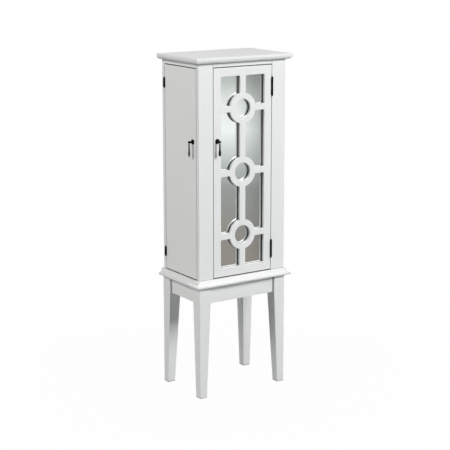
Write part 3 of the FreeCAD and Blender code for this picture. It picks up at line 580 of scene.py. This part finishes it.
def wire_hook_tree(material):
    """Bends the given path into a round wire, and repeats it along the rail."""
    sizes = [(size, "Float") for size in ("Wire Radius", "Bend Radius", "Spacing")]
    tree, given = new_group("wire_hooks", [*sizes, ("Hooks", "Int")])
    path = add_node(tree, "GeometryNodeMeshToCurve", inputs={"Mesh": given.outputs["Geometry"]})
    bent = add_node(
        tree,
        "GeometryNodeFilletCurve",
        {"mode": "POLY"},
        {"Curve": path.outputs[0], "Radius": given.outputs["Bend Radius"], "Count": 6},
    )
    ring = add_node(
        tree,
        "GeometryNodeCurvePrimitiveCircle",
        inputs={"Resolution": 12, "Radius": given.outputs["Wire Radius"]},
    )
    wire = add_node(
        tree,
        "GeometryNodeCurveToMesh",
        inputs={"Curve": bent.outputs[0], "Profile Curve": ring.outputs[0], "Fill Caps": True},
    )
    step = add_node(tree, "ShaderNodeCombineXYZ", inputs={"Y": given.outputs["Spacing"]})
    places = add_node(
        tree,
        "GeometryNodeMeshLine",
        inputs={"Count": given.outputs["Hooks"], "Offset": step.outputs[0]},
    )
    hooks = add_node(
        tree,
        "GeometryNodeInstanceOnPoints",
        inputs={"Points": places.outputs[0], "Instance": wire.outputs[0]},
    )
    real = add_node(tree, "GeometryNodeRealizeInstances", inputs={0: hooks.outputs[0]})
    smooth = add_node(tree, "GeometryNodeSetShadeSmooth", inputs={0: real.outputs[0]})
    finish = add_node(
        tree,
        "GeometryNodeSetMaterial",
        inputs={"Geometry": smooth.outputs[0], "Material": material},
    )
    add_node(tree, "NodeGroupOutput", inputs={0: finish.outputs[0]})
    return tree


def grow(name, base, tree, sizes):
    """Runs a Geometry Nodes tree on a base mesh, and keeps the result as a plain mesh."""
    modifier = base.modifiers.new(name, "NODES")
    modifier.node_group = tree
    set_inputs(modifier, sizes)
    evaluated = base.evaluated_get(bpy.context.evaluated_depsgraph_get())
    mesh = bpy.data.meshes.new_from_object(evaluated)
    base.modifiers.remove(modifier)
    bpy.data.objects.remove(base)
    mesh.name = name
    return new_piece(name, mesh)


hook_tree = wire_hook_tree(satin_brass())
HOOK_COUNT = 6
WIRE_RADIUS, BEND_RADIUS, TIP_HEIGHT = 0.9 * mm, 2.6 * mm, 8 * mm
for side_name, side in (("left", -1), ("right", 1)):
    low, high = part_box(f"{side_name}_necklace_hooks")
    rail_face = high.x if side < 0 else low.x
    seat = rail_face + side * WIRE_RADIUS
    tip = rail_face + side * (high.x - low.x - WIRE_RADIUS)
    half_strip = 2 * mm
    first_y, last_y = low.y + half_strip, high.y - half_strip
    bottom = low.z + WIRE_RADIUS
    route = [
        (seat, first_y, high.z),
        (seat, first_y, bottom),
        (tip, first_y, bottom),
        (tip, first_y, low.z + TIP_HEIGHT),
    ]
    path_mesh = bpy.data.meshes.new("hook_path")
    path_mesh.from_pydata(route, [(0, 1), (1, 2), (2, 3)], [])
    hooks = grow(
        f"{side_name}_wire_hooks",
        new_piece("hook_path", path_mesh),
        hook_tree,
        {
            "Wire Radius": WIRE_RADIUS,
            "Bend Radius": BEND_RADIUS,
            "Spacing": (last_y - first_y) / (HOOK_COUNT - 1),
            "Hooks": HOOK_COUNT,
        },
    )
    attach(hooks, "cabinet")
    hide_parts(f"{side_name}_necklace_hooks")


# ---------------------------------------------------------------- front door
# A fretwork frame cut from one thick board: a rim, a centre bar, three cross bars and three rings.
# The router leaves the front edges lightly rounded. Painted shade darkens the white coat deep in
# the openings, except on their upward-facing sills, and the fret's back face where the glass sits
# is painted near black as shade.

fretwork_lacquer = white_lacquer("white_lacquer_fretwork", "Z")
tree = fretwork_lacquer.node_tree
shader = tree.nodes["Principled BSDF"]
painted = shader.inputs["Base Color"].links[0].from_socket
seat_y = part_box("front_mirror")[0].y
coordinates = add_node(tree, "ShaderNodeTexCoord")
axes = add_node(tree, "ShaderNodeSeparateXYZ", inputs={0: coordinates.outputs["Object"]})
facing = add_node(tree, "ShaderNodeSeparateXYZ", inputs={0: coordinates.outputs["Normal"]})
shade_depth, seat_margin = 6 * mm, 0.2 * mm
# Painted shade: inside the openings, the coat darkens over the last 6 mm before the glass, except
# on faces turned upwards.
forward = map_range(tree, axes.outputs["Y"], (seat_y, seat_y - shade_depth), curve="SMOOTHSTEP")
upward = map_range(tree, facing.outputs["Z"], (0.72, 0.95), curve="SMOOTHSTEP")
recess_shade_share = calculate(tree, "SUBTRACT", 1.0, calculate(tree, "MAXIMUM", forward, upward))
low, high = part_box("front_door_frame")
centre, half = (low + high) / 2, (high - low) / 2
rim_margin = 10 * mm
openings = (
    ("X", centre.x, half.x - rim_margin),
    ("Z", centre.z, half.z - rim_margin),
    ("Y", low.y, seat_y - low.y + seat_margin),
)
for axis, middle_of_axis, reach in openings:
    inside = calculate(tree, "COMPARE", axes.outputs[axis], middle_of_axis, reach)
    recess_shade_share = calculate(tree, "MULTIPLY", recess_shade_share, inside)
recess_painted_shade = mix_colours(tree, recess_shade_share, painted, (0.17, 0.17, 0.175, 1))
# Painted shade: the fret's back face, where the glass sits, is painted near black.
at_seat = calculate(tree, "COMPARE", axes.outputs["Y"], seat_y, 0.15 * mm)
seat_painted_shade = mix_colours(tree, at_seat, recess_painted_shade, (0.012, 0.012, 0.013, 1))
tree.links.new(seat_painted_shade, shader.inputs["Base Color"])
dress(["front_door_frame"], fretwork_lacquer, 0.9 * mm)


# ---------------------------------------------------------------- mirror
# A silvered sheet of float glass in a rebate behind the fretwork, with a hardboard sheet over its
# back. What is seen is the silver; the clear glass in front of it is left out.

def silvered_glass():
    material, tree, shader, where = new_material("silvered_glass")
    haze = noise(tree, where, 14.0, 3.0)
    wave = noise(tree, where, 5.0, 0.0)
    tones = [(0.25, (0.90, 0.925, 0.915)), (0.8, (0.95, 0.965, 0.955))]
    connect(
        tree,
        shader,
        {
            "Base Color": tone_steps(tree, haze, tones),
            "Roughness": map_range(tree, haze, (0.0, 1.0), (0.012, 0.03)),
            "Metallic": 1.0,
            "Normal": add_bump(tree, wave, 0.05, 0.5 * mm),
        },
    )
    return material


def brown_hardboard():
    material, tree, shader, where = new_material("brown_hardboard")
    fibres = noise(tree, where, 420.0, 5.0, distortion=1.5)
    tones = [(0.3, (0.13, 0.075, 0.04)), (0.7, (0.24, 0.15, 0.085))]
    connect(
        tree,
        shader,
        {
            "Base Color": tone_steps(tree, fibres, tones),
            "Roughness": 0.7,
            "Normal": add_bump(tree, fibres, 0.35, 0.3 * mm),
        },
    )
    return material


SILVER_DEPTH = 2.6 * mm
low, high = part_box("front_mirror")
sheet = bmesh.new()
bmesh.ops.create_cube(sheet, size=1)
for corner in sheet.verts:
    corner.co = Vector(
        (
            high.x if corner.co.x > 0 else low.x,
            high.y if corner.co.y > 0 else low.y + SILVER_DEPTH,
            high.z if corner.co.z > 0 else low.z,
        )
    )
bmesh.ops.bevel(sheet, geom=sheet.edges[:], offset=0.1 * mm, segments=2, affect="EDGES")
mirror = new_piece("silvered_mirror", sheet, silvered_glass())
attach(mirror, "front_door")
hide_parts("front_mirror")
dress(["mirror_backing"], brown_hardboard())


# ---------------------------------------------------------------- side doors
# One flat slab on each side, between the front stile and the rear post. The veneer's grain runs
# upright and shows faintly through the lacquer.

dress(["left_door_panel", "right_door_panel"], upright, 0.5 * mm)


# ---------------------------------------------------------------- hinges
# Steel butt hinges with a black bronze finish: a leaf let into the frame, one let into the door's
# edge, and a loose pin. The front pair has turned tips, the side pairs plain rounded pin ends.

def dark_bronze():
    material, tree, shader, where = new_material("dark_bronze")
    patina = noise(tree, where, 210.0, 5.0, 0.65)
    pitted = noise(tree, where, 1500.0, 2.0)
    tones = [
        (0.35, (0.005, 0.004, 0.004)), (0.58, (0.010, 0.008, 0.006)), (0.80, (0.038, 0.024, 0.014))
    ]
    connect(
        tree,
        shader,
        {
            "Base Color": tone_steps(tree, patina, tones),
            "Roughness": map_range(tree, patina, (0.0, 1.0), (0.70, 0.52)),
            "Metallic": 0.2,
            "Specular IOR Level": 0.06,
            "Normal": add_bump(tree, pitted, 0.25, 0.2 * mm),
        },
    )
    return material


bronze = dark_bronze()
HINGED = (("front", "front_door"), ("left", "left_door"), ("right", "right_door"))
for door, _ in HINGED:
    dress([f"{door}_hinge_frame_leaves", f"{door}_hinge_door_leaves"], bronze, 0.15 * mm)
dress(["front_hinge_pins"], bronze, 1.1 * mm)
dress(["left_hinge_pins", "right_hinge_pins"], bronze, 0.7 * mm)


# ---------------------------------------------------------------- screws
# Cross-recess screws hold the hinge leaves, mirror clips, strikes, catches, hook rails, corner
# blocks, pulls and back panel. Those in the hinges are blackened; the rest are bright zinc.

def zinc_steel():
    material, tree, shader, where = new_material("zinc_steel")
    spangle = add_node(
        tree, "ShaderNodeTexVoronoi", inputs={"Vector": where, "Scale": 900.0}
    ).outputs["Distance"]
    tones = [(0.0, (0.50, 0.50, 0.49)), (0.8, (0.68, 0.68, 0.67))]
    connect(
        tree,
        shader,
        {
            "Base Color": tone_steps(tree, spangle, tones),
            "Roughness": map_range(tree, spangle, (0.0, 1.0), (0.28, 0.42)),
            "Metallic": 1.0,
        },
    )
    return material


def screw_tree():
    """A low round head with a cross recess, at each point, facing where the point says."""
    sizes = [(size, "Float") for size in ("Head Radius", "Head Height", "Crown")]
    tree, given = new_group("screw_heads", [*sizes, ("Metal", "Material")])

    def times(value, factor):
        return calculate(tree, "MULTIPLY", value, factor)

    head = add_node(
        tree,
        "GeometryNodeMeshCone",
        inputs={
            "Vertices": 20,
            "Radius Top": times(given.outputs["Head Radius"], given.outputs["Crown"]),
            "Radius Bottom": given.outputs["Head Radius"],
            "Depth": given.outputs["Head Height"],
        },
    )
    blade_length, blade_width, blade_height, blade_lift = 1.15, 0.26, 1.6, 1.15
    long_side = times(given.outputs["Head Radius"], blade_length)
    short_side = times(given.outputs["Head Radius"], blade_width)
    cutter_height = times(given.outputs["Head Height"], blade_height)
    lift_height = times(given.outputs["Head Height"], blade_lift)
    lift = add_node(tree, "ShaderNodeCombineXYZ", inputs={"Z": lift_height})
    blades = []
    for sides in ((long_side, short_side), (short_side, long_side)):
        size = add_node(
            tree, "ShaderNodeCombineXYZ", inputs={"X": sides[0], "Y": sides[1], "Z": cutter_height}
        )
        blade = add_node(tree, "GeometryNodeMeshCube", inputs={"Size": size.outputs[0]})
        raised = add_node(
            tree,
            "GeometryNodeTransform",
            inputs={"Geometry": blade.outputs[0], "Translation": lift.outputs[0]},
        )
        blades.append(raised.outputs[0])
    cut = head.outputs[0]
    for blade in blades:
        difference = add_node(tree, "GeometryNodeMeshBoolean", {"operation": "DIFFERENCE"})
        tree.links.new(cut, difference.inputs[0])
        tree.links.new(blade, difference.inputs[1])
        cut = difference.outputs[0]
    facing = add_node(
        tree, "GeometryNodeInputNamedAttribute", {"data_type": "FLOAT_VECTOR"}, {"Name": "facing"}
    )
    turned = add_node(
        tree,
        "FunctionNodeAlignRotationToVector",
        {"axis": "Z"},
        {"Vector": facing.outputs["Attribute"]},
    )
    heads = add_node(
        tree,
        "GeometryNodeInstanceOnPoints",
        inputs={
            "Points": given.outputs["Geometry"],
            "Instance": cut,
            "Rotation": turned.outputs[0],
        },
    )
    real = add_node(tree, "GeometryNodeRealizeInstances", inputs={0: heads.outputs[0]})
    finish = add_node(
        tree,
        "GeometryNodeSetMaterial",
        inputs={"Geometry": real.outputs[0], "Material": given.outputs["Metal"]},
    )
    add_node(tree, "NodeGroupOutput", inputs={0: finish.outputs[0]})
    return tree


screws = screw_tree()
zinc = zinc_steel()
dress(["mirror_clips", "front_strike", "left_strike", "right_strike"], zinc, 0.2 * mm)


def drive(name, body, places, radius, height, metal, slot_name, crown=0.72):
    """Screw heads of one size on one body. Places are pairs of a point and where the head faces."""
    mesh = bpy.data.meshes.new(f"{name}_points")
    mesh.from_pydata([place for place, _ in places], [], [])
    attribute = mesh.attributes.new("facing", "FLOAT_VECTOR", "POINT")
    attribute.data.foreach_set("vector", [value for _, way in places for value in way])
    sizes = {"Head Radius": radius, "Head Height": height, "Crown": crown, "Metal": metal}
    heads = grow(name, new_piece(f"{name}_points", mesh), screws, sizes)
    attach(heads, body)


HINGE_HEAD = (2.4 * mm, 0.09 * mm)
LEAF_SCREW_REACH, BARREL_RADIUS, LEAF_FACE = 10.3 * mm, 3.3 * mm, 0.1 * mm
SIDE_LEAF = (35 * mm, (-11 * mm, 11 * mm))
LEAF_HEIGHT_AND_RISES = {
    "front": (63.5 * mm, (-22 * mm, 0, 22 * mm)),
    "left": SIDE_LEAF,
    "right": SIDE_LEAF,
}
for door, body in HINGED:
    low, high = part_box(f"{door}_hinge_frame_leaves")
    centre = (low + high) / 2
    leaf_height, rises = LEAF_HEIGHT_AND_RISES[door]
    leaf_middles = (low.z + leaf_height / 2, high.z - leaf_height / 2)
    frame_places, door_places = [], []
    for z in [leaf_middle + rise for leaf_middle in leaf_middles for rise in rises]:
        if door == "front":
            pin = Vector((centre.x, low.y + BARREL_RADIUS, z))
            inward, to_frame = Vector((0, 1, 0)), Vector((1, 0, 0))
        else:
            side = -1 if door == "left" else 1
            outer = low.x if side < 0 else high.x
            pin = Vector((outer - side * BARREL_RADIUS, centre.y, z))
            inward, to_frame = Vector((-side, 0, 0)), Vector((0, 1, 0))
        seat = pin + inward * LEAF_SCREW_REACH
        frame_places.append((seat + to_frame * LEAF_FACE, -to_frame))
        door_places.append((seat - to_frame * LEAF_FACE, to_frame))
    for part, carrier, places in (("frame", "cabinet", frame_places), ("door", body, door_places)):
        name = f"{door}_{part}_leaf_screws"
        drive(name, carrier, places, *HINGE_HEAD, bronze, "dark_bronze", 0.98)

CLIP_ROWS, CLIP_HALF, CLIP_SCREW_OFFSET = 4, 5.5 * mm, 6 * mm
low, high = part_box("mirror_clips")
glass_low, glass_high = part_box("front_mirror")
clip_span = high.z - low.z - 2 * CLIP_HALF
backward = Vector((0, 1, 0))
clip_places = [
    (Vector((x, high.y, low.z + CLIP_HALF + clip_span * row / (CLIP_ROWS - 1))), backward)
    for row in range(CLIP_ROWS)
    for x in (glass_low.x - CLIP_SCREW_OFFSET, glass_high.x + CLIP_SCREW_OFFSET)
]
drive("mirror_clip_screws", "front_door", clip_places, 2.6 * mm, 1.3 * mm, zinc, "steel")

STRIKE_HEAD = (2.4 * mm, 0.12 * mm)
STRIKE_RISES = (-12 * mm, 12 * mm)
low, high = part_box("front_strike")
centre = (low + high) / 2
places = [(Vector((centre.x, high.y, centre.z + rise)), backward) for rise in STRIKE_RISES]
drive("front_strike_screws", "front_door", places, *STRIKE_HEAD, zinc, "steel", 0.95)
for side_name, side in (("left", -1), ("right", 1)):
    low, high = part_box(f"{side_name}_strike")
    centre = (low + high) / 2
    face = high.x if side < 0 else low.x
    inward = Vector((-side, 0, 0))
    places = [(Vector((face, centre.y, centre.z + rise)), inward) for rise in STRIKE_RISES]
    name = f"{side_name}_strike_screws"
    drive(name, f"{side_name}_door", places, *STRIKE_HEAD, zinc, "steel", 0.95)

CATCH_RISES = (-15 * mm, 15 * mm)
carcass_places = []
low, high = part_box("front_catch")
centre = (low + high) / 2
for rise in CATCH_RISES:
    carcass_places.append((Vector((high.x, centre.y, centre.z + rise)), Vector((1, 0, 0))))
for side_name, side in (("left", -1), ("right", 1)):
    low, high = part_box(f"{side_name}_catch")
    centre = (low + high) / 2
    for rise in CATCH_RISES:
        carcass_places.append((Vector((centre.x, high.y, centre.z + rise)), backward))
    low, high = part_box(f"{side_name}_hook_rail")
    face = low.x if side < 0 else high.x
    rail_inset = 7 * mm
    for y in (low.y + rail_inset, high.y - rail_inset):
        carcass_places.append((Vector((face, y, (low.z + high.z) / 2)), Vector((side, 0, 0))))
low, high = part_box("corner_blocks")
block_inset = 11 * mm
for x in (low.x + block_inset, high.x - block_inset):
    for y in (low.y + block_inset, high.y - block_inset):
        carcass_places.append((Vector((x, y, low.z)), Vector((0, 0, -1))))
BACK_ROWS, ROW_INSET, COLUMN_SPACING = 7, 24 * mm, 90 * mm
EDGE_INSET, BOTTOM_INSET = 7 * mm, 9 * mm
low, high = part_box("back_panel")
for row in range(BACK_ROWS):
    z = low.z + ROW_INSET + (high.z - low.z - 2 * ROW_INSET) * row / (BACK_ROWS - 1)
    for x in (low.x + EDGE_INSET, high.x - EDGE_INSET):
        carcass_places.append((Vector((x, high.y, z)), backward))
for z in (low.z + BOTTOM_INSET, high.z - EDGE_INSET):
    for x in (-COLUMN_SPACING, 0, COLUMN_SPACING):
        carcass_places.append((Vector((x, high.y, z)), backward))
drive("cabinet_screws", "cabinet", carcass_places, 3 * mm, 1.5 * mm, zinc, "steel")


# ---------------------------------------------------------------- drop pulls
# A cast rosette is bolted to the door from inside. Its stepped disc runs out into a neck and a
# fork, and a solid teardrop hangs between the cheeks of the fork on a rivet.

def lathe(mesh, profile, steps=40):
    """Turns a profile of (radius, distance out) round the door's outward axis, which is -Y."""
    loops = []
    for radius, out in profile:
        if radius == 0:
            loops.append([mesh.verts.new((0, -out, 0))])
            continue
        loops.append(
            [
                mesh.verts.new((radius * math.cos(turn), -out, radius * math.sin(turn)))
                for turn in full_turn(steps)
            ]
        )
    for first, second in zip(loops, loops[1:]):
        for step in range(steps):
            corners = [
                first[step % len(first)],
                first[(step + 1) % len(first)],
                second[(step + 1) % len(second)],
                second[step % len(second)],
            ]
            mesh.faces.new(list(dict.fromkeys(corners)))


def plate(mesh, outline, start, end):
    """A flat piece: the outline, of (distance out, height), drawn along X from start to end."""
    near = [mesh.verts.new((start, -out, z)) for out, z in outline]
    far = [mesh.verts.new((end, -out, z)) for out, z in outline]
    mesh.faces.new(near)
    mesh.faces.new(list(reversed(far)))
    for step in range(len(outline)):
        following = (step + 1) % len(outline)
        mesh.faces.new((near[step], far[step], far[following], near[following]))


def join_loops(mesh, first, second):
    """A band of faces between two closed loops of vertices."""
    for step in range(len(first)):
        following = (step + 1) % len(first)
        mesh.faces.new((first[step], first[following], second[following], second[step]))


# The castings' sizes are in millimetres, and finish_casting scales them.
STANDOFF = 16.5
ROSETTE = [
    (0, 0), (9.5, 0), (9.5, 1.2), (9.25, 2.0), (8.6, 2.6), (7.7, 2.9), (7.0, 3.2), (6.6, 3.9),
    (6.1, 4.7), (5.3, 5.3), (4.4, 5.9), (3.9, 6.7), (3.6, 7.8), (3.6, 8.8), (3.8, 9.6),
    (3.95, 10.3), (3.8, 11.0), (0, 11.3),
]
FORK_ROOT, CHEEK_RADIUS, CHEEK_INSIDE = 10.7, 3.6, 2.0
cheek_outline = [(FORK_ROOT, -CHEEK_RADIUS)]
for step in range(13):
    angle = math.radians(-90 + 15 * step)
    cheek_outline.append(
        (STANDOFF + CHEEK_RADIUS * math.cos(angle), CHEEK_RADIUS * math.sin(angle))
    )
cheek_outline.append((FORK_ROOT, CHEEK_RADIUS))
WEB_END, WEB_HALF_HEIGHT, WEB_HALF_WIDTH = 12.7, 3.2, 2.2
web_outline = [
    (FORK_ROOT, -WEB_HALF_HEIGHT), (WEB_END, -WEB_HALF_HEIGHT),
    (WEB_END, WEB_HALF_HEIGHT), (FORK_ROOT, WEB_HALF_HEIGHT),
]
RIVET_RADIUS, RIVET_HALF = 0.9, 3.75
rivet_outline = [
    (STANDOFF + RIVET_RADIUS * math.cos(turn), RIVET_RADIUS * math.sin(turn))
    for turn in full_turn(20)
]
DROP_SIDES, DROP_LENGTH, MOST_HALF_DEPTH = 28, 52.7, 1.78
EYE_HALF_WIDTH, EYE_RADII = 1.75, (0.95, 2.5)


def half_width(depth):
    """The teardrop's half width at a depth below its rivet, in millimetres."""
    points = [
        (2.2, 1.6), (4.4, 1.75), (6.6, 2.6), (9, 3.0), (14, 3.1), (20.2, 3.25), (24, 3.5),
        (28, 3.9), (30.9, 4.3), (34, 4.7), (37, 5.2), (40, 5.5), (43, 5.5), (46, 5.25),
        (48.6, 4.7), (50.4, 3.8), (51.8, 2.6), (DROP_LENGTH, 1.3),
    ]
    for (d0, w0), (d1, w1) in zip(points, points[1:]):
        if depth <= d1:
            share = (depth - d0) / (d1 - d0)
            return w0 + (w1 - w0) * (share * share * (3 - 2 * share))
    return points[-1][1]


def rounded(turn):
    """A place on an oval with slightly squared shoulders."""
    squareness = 0.85
    round_place = (math.cos(turn), math.sin(turn))
    return [math.copysign(abs(value) ** squareness, value) for value in round_place]


def teardrop():
    """The drop about its rivet: an eye round the rivet, a slim stem and a blunt bulb."""
    mesh = bmesh.new()
    loops = []
    for depth in [2.0 + 0.7 * step for step in range(72)] + [DROP_LENGTH]:
        wide = half_width(max(depth, 2.2))
        thick = min(MOST_HALF_DEPTH, wide * 1.05)
        loop = []
        for turn in full_turn(DROP_SIDES):
            across, out = rounded(turn)
            loop.append(mesh.verts.new((wide * across, thick * out, -depth)))
        loops.append(loop)
    for first, second in zip(loops, loops[1:]):
        join_loops(mesh, first, second)
    top = mesh.verts.new((0, 0, -1.9))
    tip = mesh.verts.new((0, 0, -53.0))
    for step in range(DROP_SIDES):
        following = (step + 1) % DROP_SIDES
        mesh.faces.new((top, loops[0][following], loops[0][step]))
        mesh.faces.new((tip, loops[-1][step], loops[-1][following]))
    inner_left, outer_left, inner_right, outer_right = [
        [
            mesh.verts.new((x, radius * math.sin(turn), radius * math.cos(turn)))
            for turn in full_turn(DROP_SIDES)
        ]
        for x in (-EYE_HALF_WIDTH, EYE_HALF_WIDTH)
        for radius in EYE_RADII
    ]
    join_loops(mesh, inner_left, outer_left)
    join_loops(mesh, outer_left, outer_right)
    join_loops(mesh, outer_right, inner_right)
    join_loops(mesh, inner_right, inner_left)
    return mesh


def finish_casting(name, mesh, turn, place, body, node, round_over):
    """Scales a casting from millimetres, eases its edges and sets it on its door."""
    bmesh.ops.recalc_face_normals(mesh, faces=mesh.faces)
    for face in mesh.faces:
        face.smooth = True
    set_on_door = Matrix.Translation(place) @ Matrix.Rotation(turn, 4, "Z")
    mesh.transform(set_on_door @ Matrix.Scale(mm, 4))
    casting = new_piece(name, mesh, bronze)
    round_edges(casting, "cast_edges", round_over, 3, 50)
    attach(casting, body)
    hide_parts(node)


for door, turn, out in (
    ("front", 0, Vector((0, -1, 0))),
    ("left", -math.pi / 2, Vector((-1, 0, 0))),
    ("right", math.pi / 2, Vector((1, 0, 0))),
):
    low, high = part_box(f"{door}_pull_post")
    seat = (low + high) / 2
    if door == "front":
        seat.y = high.y
    else:
        seat.x = high.x if door == "left" else low.x
    post = bmesh.new()
    lathe(post, ROSETTE)
    plate(post, cheek_outline, -CHEEK_RADIUS, -CHEEK_INSIDE)
    plate(post, cheek_outline, CHEEK_INSIDE, CHEEK_RADIUS)
    plate(post, web_outline, -WEB_HALF_WIDTH, WEB_HALF_WIDTH)
    plate(post, rivet_outline, -RIVET_HALF, RIVET_HALF)
    body, node = f"{door}_door", f"{door}_pull_post"
    finish_casting(f"{door}_rosette", post, turn, seat, body, node, 0.35 * mm)
    pivot = seat + out * STANDOFF * mm
    body, node = f"{door}_drop", f"{door}_pull_drop"
    finish_casting(f"{door}_teardrop", teardrop(), turn, pivot, body, node, 0.3 * mm)
    thickness = (19 if door == "front" else 16) * mm
    bolt = [(seat - out * thickness, -out)]
    drive(f"{door}_pull_bolt", f"{door}_door", bolt, 3.4 * mm, 1.9 * mm, zinc, "steel")


# ---------------------------------------------------------------- magnetic catches
# Small moulded cases screwed inside the frame, each with a magnet that holds the steel strike on
# the door. White plastic, slightly glossier than the paint.

def moulded_plastic():
    material, tree, shader, where = new_material("white_moulded_plastic")
    flow = noise(tree, where, 90.0, 2.0)
    texture = noise(tree, where, 2200.0, 1.0)
    tones = [(0.3, (0.74, 0.74, 0.71)), (0.7, (0.80, 0.80, 0.78))]
    connect(
        tree,
        shader,
        {
            "Base Color": tone_steps(tree, flow, tones),
            "Roughness": 0.33,
            "Normal": add_bump(tree, texture, 0.2, 0.1 * mm),
        },
    )
    return material


dress(["front_catch", "left_catch", "right_catch"], moulded_plastic(), 0.8 * mm)


# ---------------------------------------------------------------- picture
# The picture keeps plain colours.

bpy.context.scene.view_settings.view_transform = "Standard"
